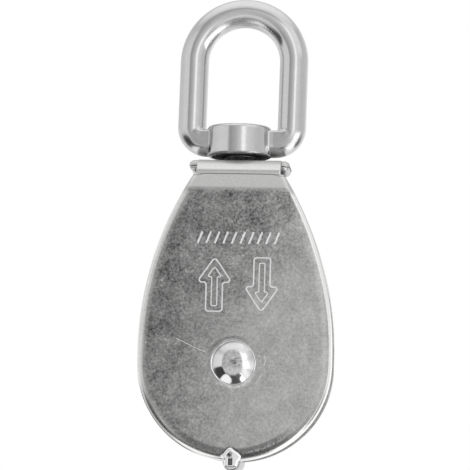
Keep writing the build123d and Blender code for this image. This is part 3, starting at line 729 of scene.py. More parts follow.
# --------------------------------------------------------------------- eye
def eye_field(x, y, z):
    x0 = x
    x = x - EYE_LEAN * np.maximum(z + 20, 0) + 0.1
    ax = np.abs(x)
    corner = YOKE_CORNER_R
    turn = YOKE_BOT_Z + corner
    qx, qz = ax - (EYE_HALF_W - corner), turn - z
    link = np.hypot(np.maximum(qx, 0), np.maximum(qz, 0)) + np.minimum(np.maximum(qx, qz), 0) - corner
    rad = np.where(z > 0, np.hypot(x, z), ax)
    bar = np.hypot(rad - MID_W, y) - BAR_R
    leg_in = np.maximum(bar, np.maximum(ax - MID_W, -(z + 19.4)))
    leg_out = np.maximum(bar, turn - 0.1 - z)
    bar = np.minimum(leg_in, leg_out)
    slab = np.hypot(np.maximum(link + BAR_R, 0), y) - BAR_R
    bend = np.maximum(slab, np.maximum(MID_W - 0.1 - ax, z - turn - 0.1))
    yoke = np.minimum(r_inter(slab, z - YOKE_TOP_Z, 0.85), bend)
    k = 0.85 * smooth(13.0, 11.4, ax) + 0.002
    body = r_union(bar, yoke, k)
    x = x0
    rho = np.hypot(x, y)
    a, t = np.hypot(x - HUB_OFF_X, y) - (HUB_R + 0.3), z - HUB_TOP_Z
    hub = r_inter(a, (a + t + 0.62) * 0.7071, 0.25)
    hub = r_inter(hub, t, 0.25)
    hub = r_inter(hub, HUB_BOT_Z - z, 0.8)
    k = 0.28 * smooth(-25.3, -23.8, z) + 0.002
    body = r_union(body, hub, k)
    flare = np.clip(z - (HUB_TOP_Z - PIN_CSK_DEPTH), 0, PIN_CSK_DEPTH + 0.3)
    bore = PIN_R + 0.04 + flare * (PIN_CSK_R - PIN_R + 0.03) / PIN_CSK_DEPTH
    hole = np.maximum((bore - rho) * 0.75, z - (HUB_TOP_Z + 1.5))
    return np.where(z > HUB_TOP_Z + 1.5, body, np.maximum(body, hole))


v, f, n = net(eye_field, (-17.7, -8.8, -26.1), (17.7, 8.8, 17.7), 0.3)
cent = v[f].mean(1)
# the hub's underside takes the gap material: grease and painted shade
under = (cent[:, 2] < HUB_BOT_Z + 0.25) & (np.hypot(cent[:, 0], cent[:, 1]) < HUB_R - 0.25)
eye = mesh_object("eye_polished", v, f, n, (M_EYE, M_GREASE_AND_SHADE), under.astype(int))
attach(eye, "eye")
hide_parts("eye")

# ------------------------------------------------------------- swivel pin
plate_bot = AXLE_Z + PLATE_BOT_H
head_top = plate_bot - 0.2
pin_prof = [(0, HUB_TOP_Z + 0.66)]
for i in range(1, 13):
    r = PIN_CSK_R * 0.985 * i / 12
    pin_prof.append((r, HUB_TOP_Z - 0.05 + 0.71 * (1 - (r / PIN_CSK_R) ** 2)))
pin_prof += [tuple(p) for p in rounded_path(
    [(PIN_CSK_R - 0.05, HUB_TOP_Z - 0.06), (PIN_R, HUB_TOP_Z - PIN_CSK_DEPTH - 0.02), (PIN_R, head_top), (6.4, head_top),
     (6.4, head_top - 2.4), (0, head_top - 2.4)], [0, 0.3, 0.2, 0.3, 0.7, 0], 5)]
pin = lathe("swivel_pin_turned", pin_prof, "Z", (0, 0, 0), 72, (M_PLAIN,))
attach(pin, "eye")
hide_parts("swivel_pin")

# ---------------------------------------------------------- swivel washer
z0 = AXLE_Z + WEB_TOP_H
# the washer's sides take the gap material too: grease and painted shade
wash = lathe("swivel_washer_pressed", rounded_path(
    [(4.07, z0 + 0.005), (5.6, z0 + 0.005), (5.6, z0 + 1.15), (4.07, z0 + 1.15)], [0.15, 0.25, 0.3, 0.15], 5, True),
    "Z", (0, 0, 0), 72, (M_GREASE_AND_SHADE, M_PLAIN), lambda a, b: 1 if min(a[1], b[1]) > z0 + 1.1 else 0)
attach(wash, "housing")
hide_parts("swivel_washer")


# ------------------------------------------------------------------- shell
def face_y(h):
    """Outer face's distance from the middle plane at height h."""
    w = 0.55
    t = h - BEND_H
    bend = np.where(t < -w, 0, np.where(t > w, t, (t + w) ** 2 / (4 * w)))
    return HALF_THICK - (HALF_THICK - NECK_HALF_T) / (CREASE_H - BEND_H) * bend


def outline():
    """Right half of the cheek's outline from above the crease to the bottom."""
    pts = []
    hs = list(np.arange(52.0, 43.0, -0.25)) + list(np.arange(43.0, SIDE_Z0, -0.8))
    for h in hs:
        b = math.asin((h - SIDE_Z0) / SIDE_R)
        pts.append((SIDE_CX + SIDE_R * math.cos(b), h, math.cos(b), math.sin(b)))
    pts.append((CHEEK_R, SIDE_Z0, 1, 0))
    pts.append((CHEEK_R, SIDE_Z0 / 2, 1, 0))
    for k in range(0, 61):
        a = -math.radians(90) * k / 60
        pts.append((CHEEK_R * math.cos(a), CHEEK_R * math.sin(a), math.cos(a), math.sin(a)))
    return pts


def rim_section(f):
    """(inset, depth) round the sheet's edge, from the outer face in; f scales the roll."""
    sec = []
    n = 26
    big = RIM_R * f
    for k in range(n + 1):
        t = math.radians(90) * k / n
        # the roll starts gently and tightens; faint rolling lines left by the forming
        w = math.sin(math.pi * k / n) ** 2
        r = big - 0.010 * w * (1 + math.sin(2 * math.pi * k / n * 4.0 + 0.6))
        sec.append((big - r * math.sin(t) ** 0.77, big - r * math.cos(t) ** 0.77 if k < n else big))
    tip = HALF_THICK - FLANGE_TIP
    ri = max(big - SHEET, 0.25)
    for p in rounded_path([(0, big), (0, tip), (SHEET, tip), (SHEET, SHEET + ri)], [0, 0.3, 0.3, 0], 4)[1:]:
        sec.append(tuple(p))
    for k in range(1, 7):
        t = math.radians(90) * (1 - k / 6)
        sec.append((SHEET + ri - ri * math.sin(t), SHEET + ri - ri * math.cos(t)))
    return sec


def cheek(name, side):
    right = outline()
    left = [(-x, h, -nx, nh) for x, h, nx, nh in right[::-1]][1:]
    rows = right + left
    m, k = len(rows), len(rim_section(1.0))
    verts = []
    for x, h, nx, nh in rows:
        # the pressing came out a little under size
        less = 0.20 if side < 0 else 0.10 + 0.25 * max(0.0, -nh) ** 2
        slip = 0.10 if side < 0 else 0.0
        for inset, depth in rim_section(1.0 - 0.52 * float(smooth(44.0, 49.5, h))):
            px, ph = x - nx * (inset + less), h - nh * (inset + less)
            verts.append((px + slip, side * (float(face_y(ph)) - depth), AXLE_Z + ph))
    faces = []
    for j in range(m - 1):
        for i in range(k - 1):
            faces.append((j * k + i, j * k + i + 1, (j + 1) * k + i + 1, (j + 1) * k + i))
    top = sum(1 for p in right if p[1] > 41.0)
    for i, rev in ((0, False), (k - 1, True)):
        for j in range(top):
            a, b = j, m - 1 - j
            q = (a * k + i, (a + 1) * k + i, (b - 1) * k + i, b * k + i)
            faces.append(q[::-1] if rev else q)
        ring = [j * k + i for j in range(top, m - top)]
        faces.append(tuple(ring[::-1] if rev else ring))
    bm = bmesh.new()
    bv = [bm.verts.new([c * MM for c in p]) for p in verts]
    for q in faces:
        bm.faces.new([bv[i] for i in q])
    cut = bmesh.ops.bisect_plane(bm, geom=bm.verts[:] + bm.edges[:] + bm.faces[:], dist=1e-7,
                                 plane_co=(0, 0, (AXLE_Z + CREASE_H) * MM), plane_no=(0, 0, 1), clear_outer=True)
    edges = [e for e in bm.edges if e.is_boundary]
    bmesh.ops.holes_fill(bm, edges=edges, sides=0)
    bmesh.ops.recalc_face_normals(bm, faces=bm.faces[:])
    me = bpy.data.meshes.new(name)
    bm.to_mesh(me)
    bm.free()
    me.materials.append(M_SHEET)
    me.materials.append(M_MARK)
    ob = bpy.data.objects.new(name, me)
    bpy.context.scene.collection.objects.link(ob)
    return ob


def groove(path, width, depth, closed, y_face):
    """Trapezoid cutter along a path of (x, h) points on the front face."""
    path = np.array(path, float)
    n = len(path)
    nrm = []
    for i in range(n):
        a = path[(i - 1) % n] if closed or i > 0 else path[i]
        b = path[(i + 1) % n] if closed or i < n - 1 else path[i]
        p = path[i]
        d1 = (p - a) / max(np.linalg.norm(p - a), 1e-9)
        d2 = (b - p) / max(np.linalg.norm(b - p), 1e-9)
        if not closed and i == 0:
            d1 = d2
        if not closed and i == n - 1:
            d2 = d1
        t = d1 + d2
        t /= max(np.linalg.norm(t), 1e-9)
        nn = np.array((-t[1], t[0]))
        c = max(0.35, float(nn @ np.array((-d1[1], d1[0]))))
        nrm.append(nn / c)
    up = 0.12
    slope = (width / 2 * 0.75) / depth
    sec = [(-(width / 2 + slope * up), up), (-width * 0.125, -depth), (width * 0.125, -depth), (width / 2 + slope * up, up)]
    verts, faces = [], []
    for p, nn in zip(path, nrm):
        for s, o in sec:
            q = p + nn * s
            verts.append((q[0], -(y_face + o), AXLE_Z + q[1]))
    for i in range(n if closed else n - 1):
        j = (i + 1) % n
        for s in range(4):
            t = (s + 1) % 4
            faces.append((i * 4 + s, i * 4 + t, j * 4 + t, j * 4 + s))
    if not closed:
        faces.append((3, 2, 1, 0))
        faces.append(tuple((n - 1) * 4 + s for s in range(4)))
    return verts, faces


def offset_in(poly, d):
    """Offsets a closed polygon inward by d."""
    poly = np.array(poly, float)
    n = len(poly)
    area = sum(poly[i][0] * poly[(i + 1) % n][1] - poly[(i + 1) % n][0] * poly[i][1] for i in range(n))
    sgn = 1 if area > 0 else -1
    out = []
    for i in range(n):
        a, p, b = poly[i - 1], poly[i], poly[(i + 1) % n]
        d1, d2 = (p - a) / np.linalg.norm(p - a), (b - p) / np.linalg.norm(b - p)
        n1, n2 = sgn * np.array((-d1[1], d1[0])), sgn * np.array((-d2[1], d2[0]))
        t = (n1 + n2) / (1 + float(n1 @ n2))
        out.append(p + t * d)
    return out


def arrow(cx, h0, h1, up):
    """Outer outline of a plain arrow between heights h0 and h1."""
    w, s, head = 4.55, 2.15, 6.6
    pts = [(0, h1), (w, h1 - head), (s, h1 - head), (s, h0), (-s, h0), (-s, h1 - head), (-w, h1 - head)]
    if not up:
        pts = [(x, h0 + h1 - h) for x, h in pts][::-1]
    return [(cx + x, h) for x, h in pts]


cut_v, cut_f = [], []


def add_cut(vf):
    base = len(cut_v)
    cut_v.extend(vf[0])
    cut_f.extend([tuple(i + base for i in q) for q in vf[1]])


Y_FACE = HALF_THICK
for cx, up in ((-5.45, True), (6.95, False)):
    outer = arrow(cx, 13.4, 27.6, up)
    add_cut(groove(rounded_path(outer, [0.7] * 7, 6, True), 0.36, 0.17, True, Y_FACE))
    inner = offset_in(outer, 1.42)
    add_cut(groove(rounded_path(inner, [0.35] * 7, 5, True), 0.31, 0.17, True, Y_FACE))
for i in range(10):
    x = -9.65 + i * 2.24
    add_cut(groove([(x - 0.45, 31.2), (x + 0.75, 34.3)], 0.48, 0.2, False, Y_FACE))
# the deepest of the scratches on the front
for path, w, d in (
        ([(-15.2, 6.2), (-11.0, 4.2), (-7.3, 2.7)], 0.13, 0.035),
        ([(8.0, -0.8), (8.35, 0.6), (8.2, 2.1)], 0.12, 0.03),
        ([(15.9, -16.4), (16.4, -17.7)], 0.16, 0.05),
        ([(19.2, -14.3), (20.0, -15.2)], 0.13, 0.04)):
    add_cut(groove(path, w, d, False, Y_FACE))

front = cheek("shell_front", -1)
rear = cheek("shell_rear", 1)
grooves = mesh_object("cutter_marks", cut_v, cut_f, mats=(M_MARK,))


def rod(name, radius, h, segs):
    ring = [(radius * math.cos(2 * math.pi * i / segs), radius * math.sin(2 * math.pi * i / segs)) for i in range(segs)]
    verts = [(x, -14.0, AXLE_Z + h + z) for x, z in ring] + [(x, 14.0, AXLE_Z + h + z) for x, z in ring]
    faces = [(i, (i + 1) % segs, segs + (i + 1) % segs, segs + i) for i in range(segs)]
    faces += [tuple(range(segs))[::-1], tuple(range(segs, 2 * segs))]
    return mesh_object(name, verts, faces, mats=(M_SHEET,))


holes = join("cutter_holes", [rod("c1", 4.04, 0.0, 64), rod("c2", 1.93, GUARD_H, 40)])
for ob in (grooves, holes):
    b = bmesh.new()
    b.from_mesh(ob.data)
    bmesh.ops.recalc_face_normals(b, faces=b.faces[:])
    b.to_mesh(ob.data)
    b.free()
for ob, cutters in ((front, (holes, grooves)), (rear, (holes,))):
    for c in cutters:
        md = ob.modifiers.new("cut", "BOOLEAN")
        md.operation = "DIFFERENCE"
        md.solver = "EXACT"
        md.object = c
        md.material_mode = "TRANSFER"
    bake(ob)
    assert len(ob.data.polygons) > 5000, "the cut emptied the sheet"
for c in (grooves, holes):
    bpy.data.objects.remove(c)
for ob in (front, rear):
    me = ob.data
    me.polygons.foreach_set("use_smooth", np.ones(len(me.polygons), bool))
    me.set_sharp_from_angle(angle=math.radians(22))
    md = ob.modifiers.new("even", "WEIGHTED_NORMAL")
    md.mode = "FACE_AREA"
    md.weight = 100
    md.keep_sharp = True
    bake(ob)


def fold_outline():
    """Outer line of the top fold, front half, as (distance from the middle, h)."""
    key = [(10.14, 49.70), (10.24, 50.05), (10.24, 50.45), (10.1, 50.98), (9.7, 51.6), (9.2, 52.22), (8.7, 52.78),
           (8.15, 53.27), (7.5, 53.66), (6.8, 53.86), (6.1, 53.9)]
    pts = [np.array(p, float) for p in key]
    out = []
    for i in range(len(pts) - 1):
        p0, p1, p2, p3 = pts[max(i - 1, 0)], pts[i], pts[i + 1], pts[min(i + 2, len(pts) - 1)]
        for k in range(4):
            t = k / 4
            out.append(0.5 * ((2 * p1) + (-p0 + p2) * t + (2 * p0 - 5 * p1 + 4 * p2 - p3) * t ** 2
                              + (-p0 + 3 * p1 - 3 * p2 + p3) * t ** 3))
    out += [pts[-1], np.array((0.0, 53.9))]
    return np.array(out)


FOLD_LINE = fold_outline()


def line_distance(px, py, line):
    """Distance to an open line and the side of it, negative inside."""
    best = np.full(px.shape, 1e9)
    side = np.zeros(px.shape)
    for a, b in zip(line[:-1], line[1:]):
        dx, dy = b - a
        t = np.clip(((px - a[0]) * dx + (py - a[1]) * dy) / (dx * dx + dy * dy), 0, 1)
        ex, ey = px - (a[0] + t * dx), py - (a[1] + t * dy)
        dd = ex * ex + ey * ey
        s = dx * (py - a[1]) - dy * (px - a[0])
        new = dd < best - 1e-12
        best = np.where(new, dd, best)
        side = np.where(new, s, side)
    return np.sqrt(best) * np.where(side > 0, -1.0, 1.0)


def fold_field(x, y, z):
    h = z - AXLE_Z
    ay = np.abs(y)
    d = line_distance(ay, h, FOLD_LINE)
    strip = np.abs(d + SHEET / 2) - SHEET / 2
    strip = r_inter(strip, 49.72 - h, 0.12)
    fold = r_inter(strip, np.abs(x) - FOLD_HALF_W, 0.35)
    qx, qy = np.abs(x - EAR_OFF_X) - (EAR_HALF_W - EAR_CORNER_R), ay - (EAR_HALF_D - EAR_CORNER_R)
    plan = np.hypot(np.maximum(qx, 0), np.maximum(qy, 0)) + np.minimum(np.maximum(qx, qy), 0) - EAR_CORNER_R
    web = r_inter(plan, h - WEB_TOP_H, 1.3)
    web = r_inter(web, WEB_BOT_H - h, 0.12)
    body = np.minimum(fold, web)
    return np.maximum(body, 4.07 - np.hypot(x, y))


v, f, n = net(fold_field, (-14.0, -10.8, AXLE_Z + 49.2), (14.0, 10.8, AXLE_Z + 54.1), 0.24, 1)
fold = mesh_object("shell_fold", v, f, n, (M_SHEET, M_MARK))
shell = join("shell_folded_sheet", [front, rear, fold])
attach(shell, "housing")
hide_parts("shell")


# ------------------------------------------------------------ bridge plate
def plate_field(x, y, z):
    h = z - AXLE_Z
    qx, qy = np.abs(x - EAR_OFF_X) - (EAR_HALF_W - 0.1 - EAR_CORNER_R), np.abs(y) - (EAR_HALF_D - 0.1 - EAR_CORNER_R)
    plan = np.hypot(np.maximum(qx, 0), np.maximum(qy, 0)) + np.minimum(np.maximum(qx, qy), 0) - EAR_CORNER_R
    d = r_inter(plan * 0.55, (PLATE_BOT_H - h) * 0.9, 1.25)
    d = r_inter(d, h - (WEB_BOT_H - 0.03), 0.25)
    return np.maximum(d, 4.07 - np.hypot(x, y))


v, f, n = net(plate_field, (-13.9, -7.1, AXLE_Z + 49.7), (13.9, 7.1, AXLE_Z + 52.4), 0.26, 1)
plate = mesh_object("bridge_plate_ends", v, f, n, (M_PLAIN,))
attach(plate, "housing")
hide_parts("bridge_plate")


# -------------------------------------------------------------------- axle
DOME_R, DOME_S = 5.58, 6.59
DOME_DROP = 0.30           # the flank is straighter at its foot, so the crown sits lower


def dome_height(x, z):
    """Height of the rivet's crown over the cheek: a round flank, worn flat on top."""
    rho = np.minimum(np.hypot(x, z), DOME_R)
    knee = 4.15
    cap = np.sqrt(DOME_S ** 2 - np.minimum(rho, knee) ** 2) - math.sqrt(DOME_S ** 2 - knee ** 2)
    slope = knee / math.sqrt(DOME_S ** 2 - knee ** 2)
    over = np.maximum(rho - knee, 0)
    cap = cap - over * slope - over ** 2 * 0.055 + (DOME_R - knee) * slope + (DOME_R - knee) ** 2 * 0.055
    painted_shading = 2.56 - DOME_DROP - 0.004 * (x + 0.1) ** 2 - 0.036 * z * z + 0.012 * np.sin(2.3 * x + 1.1 * z) * np.cos(1.7 * z - 0.6)
    k = 0.20
    h = np.clip(k - np.abs(cap - painted_shading), 0, None)
    return np.minimum(cap, painted_shading) - h * h / (4 * k)


def axle_mesh():
    segs, verts, faces = 96, [], []
    th = np.linspace(0, 2 * math.pi, segs, endpoint=False)

    def ring(r, y, off=0.0):
        verts.extend(zip(r * np.cos(th) + off, np.broadcast_to(y, segs), r * np.sin(th) + AXLE_Z))
        return [len(verts) - segs + i for i in range(segs)]

    loops = []
    radii = np.concatenate([np.linspace(0.16, 5.0, 34), np.linspace(5.08, DOME_R, 8)])
    y0 = HALF_THICK
    lip = [(5.60, 0.02), (5.63, 0.03), (5.68, 0.085), (5.75, 0.11), (5.83, 0.09), (5.90, 0.03), (5.92, -0.02)]
    for s in (-1, 1):
        first = len(verts)
        verts.append((0.0, s * (y0 + float(dome_height(np.zeros(1), np.zeros(1))[0])), AXLE_Z))
        mine = []
        for r in radii:
            h = dome_height(r * np.cos(th), r * np.sin(th))
            mine.append(ring(r, s * (y0 + h)))
        for r, h in lip:
            mine.append(ring(r, np.full(segs, s * (y0 + h)), -0.06))
        mine.append(ring(4.0, np.full(segs, s * (y0 - 0.02))))
        loops.append((first, mine))
        for i in range(segs):
            f = (first, mine[0][(i + 1) % segs], mine[0][i])
            faces.append(f[::-1] if s < 0 else f)
        for a, b in zip(mine[:-1], mine[1:]):
            for i in range(segs):
                j = (i + 1) % segs
                f = (a[i], a[j], b[j], b[i])
                faces.append(f[::-1] if s < 0 else f)
    a, b = loops[0][1][-1], loops[1][1][-1]
    for i in range(segs):
        j = (i + 1) % segs
        faces.append((a[j], a[i], b[i], b[j]))
    return verts, faces


v, f = axle_mesh()
axle = mesh_object("axle_rivet", v, f, mats=(M_DOME,), sharp=60)
bm = bmesh.new()
bm.from_mesh(axle.data)
bmesh.ops.recalc_face_normals(bm, faces=bm.faces[:])
bm.to_mesh(axle.data)
bm.free()
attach(axle, "housing")
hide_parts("axle")

# ------------------------------------------------- sheave, bush and washers
R, ROOT, GR = 22.6, 16.2, 4.6
fl = math.radians(18)
gc = ROOT + GR
gx, gy = gc - GR * math.sin(fl), GR * math.cos(fl)
lip = gy + (R - 0.7 - gx) * math.tan(fl)
half = [(R - 0.7, lip), (R, lip + 0.55), (R, 7.5), (R - 0.7, 8.2), (14.6, 8.2), (13.4, 6.3), (9.4, 6.3), (8.6, 9.0), (6.0, 9.0)]
side_a = rounded_path([(gx, gy)] + half, [0, 0.4, 0.5, 0.35, 0.35, 0.4, 0.8, 0.8, 0.35, 0], 5)
arc = [(gc - GR * math.cos(t), GR * math.sin(t)) for t in np.linspace(-(math.pi / 2 - fl), math.pi / 2 - fl, 33)]
prof = [tuple(p) for p in arc] + [tuple(p) for p in side_a[1:]] + [(r, -y) for r, y in side_a[::-1][:-1]]
sheave = lathe("sheave_wheel", prof, "Y", (0, 0, AXLE_Z), 128, (M_TURNED,))
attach(sheave, "sheave")
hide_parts("sheave")

bush = lathe("sheave_bush_ring", rounded_path([(4.05, -9.0), (5.99, -9.0), (5.99, 9.0), (4.05, 9.0)], [0.3, 0.05, 0.05, 0.3], 4, True),
             "Y", (0, 0, AXLE_Z), 64, (M_BRONZE,))
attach(bush, "sheave")
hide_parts("sheave_bush")

for name, node, y0, y1 in (("axle_washer_f", "axle_washer_front", -9.99, -9.21), ("axle_washer_r", "axle_washer_rear", 9.21, 9.99)):
    w = lathe(name, rounded_path([(4.04, y0), (6.6, y0), (6.6, y1), (4.04, y1)], [0.1, 0.2, 0.2, 0.1], 4, True), "Y",
              (0, 0, AXLE_Z), 64, (M_PLAIN,))
    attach(w, "housing")
    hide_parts(node)

spacer = lathe("guard_spacer_tube", rounded_path([(1.95, -6.85), (2.44, -6.85), (2.44, 6.85), (1.95, 6.85)], [0.1, 0.15, 0.15, 0.1], 4, True),
               "Y", (0, 0, AXLE_Z + GUARD_H), 48, (M_PLAIN,))
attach(spacer, "housing")
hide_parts("guard_spacer")


# ------------------------------------------------------------- guard rivet
def arch_outline():
    """The peened head's outline as (x, h): a hood with a short tongue."""
    key = [(-3.0, -24.25), (-2.05, -23.62), (-1.36, -22.72), (-0.8, -22.15), (-0.26, -21.96), (0.26, -22.12), (1.04, -22.72),
           (2.0, -23.32), (2.66, -23.95), (2.76, -24.47), (2.47, -25.0), (2.05, -25.5), (1.82, -26.1), (1.75, -26.9),
           (1.55, -27.1), (-1.6, -27.1), (-1.8, -26.9), (-1.76, -26.1), (-1.66, -25.4), (-1.85, -24.95), (-2.6, -24.6)]
    pts = rounded_path(key, [0.25] * len(key), 3, True)
    return np.vstack([pts, pts[:1]])


ARCH = arch_outline()


def polygon_distance(px, py, line):
    best = np.full(px.shape, 1e9)
    inside = np.zeros(px.shape, bool)
    for a, b in zip(line[:-1], line[1:]):
        dx, dy = b - a
        ln = dx * dx + dy * dy
        if ln < 1e-12:
            continue
        t = np.clip(((px - a[0]) * dx + (py - a[1]) * dy) / ln, 0, 1)
        ex, ey = px - (a[0] + t * dx), py - (a[1] + t * dy)
        best = np.minimum(best, ex * ex + ey * ey)
        cross = (a[1] > py) != (b[1] > py)
        xs = a[0] + (py - a[1]) * dx / (dy if abs(dy) > 1e-12 else 1e-12)
        inside ^= cross & (px < xs)
    return np.sqrt(best) * np.where(inside, -1.0, 1.0)


def guard_field(x, y, z):
    h = z - AXLE_Z
    ay = np.abs(y)
    d2 = polygon_distance(x, h, ARCH)
    head = r_inter(d2, ay - (HALF_THICK + 1.28), 0.55)
    head = r_inter(head, (HALF_THICK + 0.02) - ay, 0.16)
    # the hollow under the hood, a hole in it and the slot of the tongue
    hollow = np.maximum(np.maximum(d2 + 1.0, x - 0.35), -24.65 - h)
    head = r_inter(head, -np.maximum(hollow, (HALF_THICK + 0.5) - ay), 0.14)
    hole = np.hypot(x + 0.45, h + 23.92) - 0.42
    head = r_inter(head, -np.maximum(hole, (HALF_THICK + 0.15) - ay), 0.06)
    nick = np.maximum(np.abs(x + 0.08) - 0.56, np.abs(h + 25.75) - 0.86)
    head = r_inter(head, -np.maximum(nick, (HALF_THICK + 0.45) - ay), 0.10)
    shank = np.maximum(np.hypot(x, h - GUARD_H) - 1.88, ay - (HALF_THICK + 0.3))
    return np.minimum(head, shank)


v, f, n = net(guard_field, (-3.5, -13.2, AXLE_Z - 28.0), (3.5, 13.2, AXLE_Z - 21.4), 0.14, 1)
M_GUARD = polished_material("guard_steel_peened", 0.98, 0.22, 0.12)
cent = v[f].mean(1)
cx_, ch_, cy_ = cent[:, 0], cent[:, 2] - AXLE_Z, np.abs(cent[:, 1])
# painted shade: the hole and the tongue's slot take a dark material, and the hollow under the hood the darker satin
# steel
deep = (np.abs(cx_ + 0.08) < 0.62) & (np.abs(ch_ + 25.75) < 0.92) & (cy_ < HALF_THICK + 0.95)
deep |= (np.hypot(cx_ + 0.45, ch_ + 23.92) < 0.48) & (cy_ < HALF_THICK + 0.46)
dim = ~deep & (cx_ < 0.42) & (ch_ > -24.75) & (cy_ > HALF_THICK + 0.3) & (cy_ < HALF_THICK + 0.9)
dim &= polygon_distance(cx_, ch_, ARCH) < -0.85
guard = mesh_object("guard_rivet_peened", v, f, n, (M_GUARD, M_RECESS_SHADE, M_PLAIN), deep.astype(int) + 2 * dim.astype(int))
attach(guard, "housing")
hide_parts("guard_rivet")

# ------------------------------------------------------------------ camera
YAW, PITCH, ROLL = math.radians(4.21), math.radians(6.18), math.radians(1.45)
TARGET = Vector((-1.22, 0.0, -46.29)) * MM
DIST = 0.7454
fwd = Vector((-math.sin(YAW) * math.cos(PITCH), math.cos(YAW) * math.cos(PITCH), math.sin(PITCH)))
right = Vector((math.cos(YAW), math.sin(YAW), 0.0))
upv = right.cross(fwd)
rx = right * math.cos(ROLL) + upv * math.sin(ROLL)
ux = -right * math.sin(ROLL) + upv * math.cos(ROLL)
pos = TARGET - fwd * DIST
cam_data = bpy.data.cameras.new("camera")
cam_data.sensor_width = 36.0
cam_data.lens = 214.96
cam_data.clip_start = 0.01
cam = bpy.data.objects.new("camera", cam_data)
cam.matrix_world = Matrix(((rx.x, ux.x, -fwd.x, pos.x), (rx.y, ux.y, -fwd.y, pos.y), (rx.z, ux.z, -fwd.z, pos.z), (0, 0, 0, 1)))
bpy.context.scene.collection.objects.link(cam)
bpy.context.scene.camera = cam
bpy.context.scene.view_settings.view_transform = "Standard"


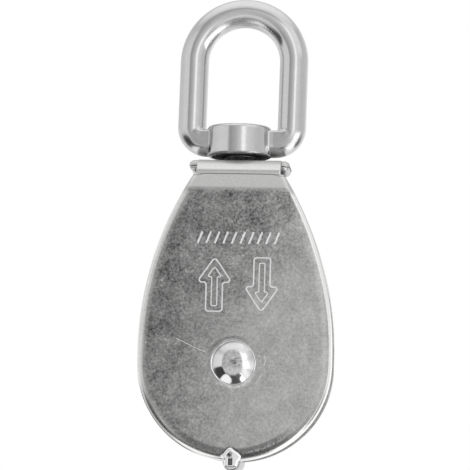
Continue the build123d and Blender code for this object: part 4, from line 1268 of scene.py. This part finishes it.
# ---------------------------------------------------------- studio and floor
def studio():
    """White tent with a few darker openings, as bare metal shows it."""
    w = bpy.data.worlds.new("studio")
    bpy.context.scene.world = w
    w.use_nodes = True
    g = Nodes(w.node_tree)
    out = g.add("ShaderNodeOutputWorld")
    d = g.add("ShaderNodeTexCoord").outputs["Generated"]
    sep = g.add("ShaderNodeSeparateXYZ")
    g.put(sep.inputs[0], d)
    deg = 180 / math.pi
    el = g.math("MULTIPLY", g.math("ARCSINE", sep.outputs[2]), deg)
    az = g.math("MULTIPLY", g.math("ARCTAN2", sep.outputs[0], g.math("MULTIPLY", sep.outputs[1], -1.0)), deg)
    def ramp(v, lo, hi, stops):
        n = g.add("ShaderNodeValToRGB")
        g.put(n.inputs[0], g.range(v, lo, hi, kind="LINEAR"))
        cr = n.color_ramp
        while len(cr.elements) > 1:
            cr.elements.remove(cr.elements[-1])
        for i, (e, s) in enumerate(stops):
            p = (e - lo) / (hi - lo)
            el_ = cr.elements[0] if i == 0 else cr.elements.new(p)
            el_.position = p
            el_.color = (s / 2, s / 2, s / 2, 1)
        return g.math("MULTIPLY", n.outputs[0], 2.0)

    # from floor to ceiling, then all round at eye level
    val = ramp(el, -90, 90, [(-90, 0.10), (-70, 0.10), (-48, 0.17), (-20, 0.26), (-8, 0.50), (8, 0.60), (26, 0.66),
                             (40, 0.72), (50, 1.02), (62, 1.16), (76, 1.24), (90, 1.20)])
    belt = ramp(az, -180, 180, [
        (-180, 1.02), (-164, 0.92), (-142, 0.76), (-118, 0.80), (-93, 0.86), (-72, 0.95), (-43, 0.95), (-38, 0.90), (-34, 0.55),
        (-28, 0.45), (-19, 0.57), (-9, 0.64), (-1, 0.78), (8, 0.88), (12, 1.30), (17, 1.50), (23, 1.42), (28, 1.02),
        (36, 0.95), (54, 0.85), (64, 0.77), (81, 0.75), (106, 0.80), (121, 0.80), (138, 1.00), (180, 1.02)])
    m = g.math("MULTIPLY", g.range(el, -20, -6), g.range(el, 24, 44, 1.0, 0.0))
    val = g.mix(m, val, belt)
    # (azimuth low, high, elevation low, high, softness, level)
    for a0, a1, e0, e1, soft, level in (
            (-44, 34, 30, 37, 2.5, 0.50),
            (-46, 34, -38, -10, 4, 0.85),
            (22, 72, 15, 46, 4, 1.10),
            (-182, -108, -60, 6, 8, 0.95),
            (125, 182, -80, 6, 8, 1.05),
            (-88, -41, -46, -13, 2, 0.06),
            (-130, -32, -78, -47, 2, 1.25),
            (58, 126, -66, -41, 3, 1.4)):
        m = g.math("MULTIPLY", g.range(az, a0 - soft, a0 + soft), g.range(az, a1 - soft, a1 + soft, 1.0, 0.0))
        m = g.math("MULTIPLY", m, g.range(el, e0 - soft, e0 + soft))
        m = g.math("MULTIPLY", m, g.range(el, e1 - soft, e1 + soft, 1.0, 0.0))
        val = g.mix(m, val, level)
    bg = g.add("ShaderNodeBackground")
    g.put(bg.inputs["Color"], g.grey(val))
    white = g.add("ShaderNodeBackground", {"Color": (1, 1, 1, 1), "Strength": 1.0})
    mix = g.add("ShaderNodeMixShader")
    g.put(mix.inputs[0], g.add("ShaderNodeLightPath").outputs["Is Camera Ray"])
    g.t.links.new(bg.outputs[0], mix.inputs[1])
    g.t.links.new(white.outputs[0], mix.inputs[2])
    g.t.links.new(mix.outputs[0], out.inputs[0])


def panel(name, centre, target, w, h, radiance):
    """Softbox: a rectangular area light of even brightness."""
    li = bpy.data.lights.new(name, "AREA")
    li.shape = "RECTANGLE"
    li.size, li.size_y = w * MM, h * MM
    li.energy = radiance * math.pi * w * h * MM * MM
    ob = bpy.data.objects.new(name, li)
    c, t = Vector(centre) * MM, Vector(target) * MM
    ob.location = c
    ob.rotation_euler = (t - c).to_track_quat("-Z", "Y").to_euler()
    bpy.context.scene.collection.objects.link(ob)
    return ob


studio()
panel("softbox_right", (195, -108, -165), (0, 0, -95), 190, 250, 1.4)

floor_z = -0.20
fm = bpy.data.materials.new("floor_pale")
fm.use_nodes = True
g = Nodes(fm.node_tree)
out = g.add("ShaderNodeOutputMaterial")
pb = g.add("ShaderNodeBsdfPrincipled")
pb.inputs["Base Color"].default_value = (0.83, 0.83, 0.82, 1)
pb.inputs["Roughness"].default_value = 0.75
tr = g.add("ShaderNodeBsdfTransparent")
mx = g.add("ShaderNodeMixShader")
g.put(mx.inputs[0], g.add("ShaderNodeNewGeometry").outputs["Backfacing"])
g.t.links.new(pb.outputs[0], mx.inputs[1])
g.t.links.new(tr.outputs[0], mx.inputs[2])
g.t.links.new(mx.outputs[0], out.inputs[0])
me = bpy.data.meshes.new("floor")
seg = 96
me.from_pydata([(1.6 * math.cos(2 * math.pi * i / seg), 1.6 * math.sin(2 * math.pi * i / seg), floor_z) for i in range(seg)], [],
               [tuple(range(seg))])
me.materials.append(fm)
floor = bpy.data.objects.new("floor", me)
bpy.context.scene.collection.objects.link(floor)
floor.visible_glossy = False
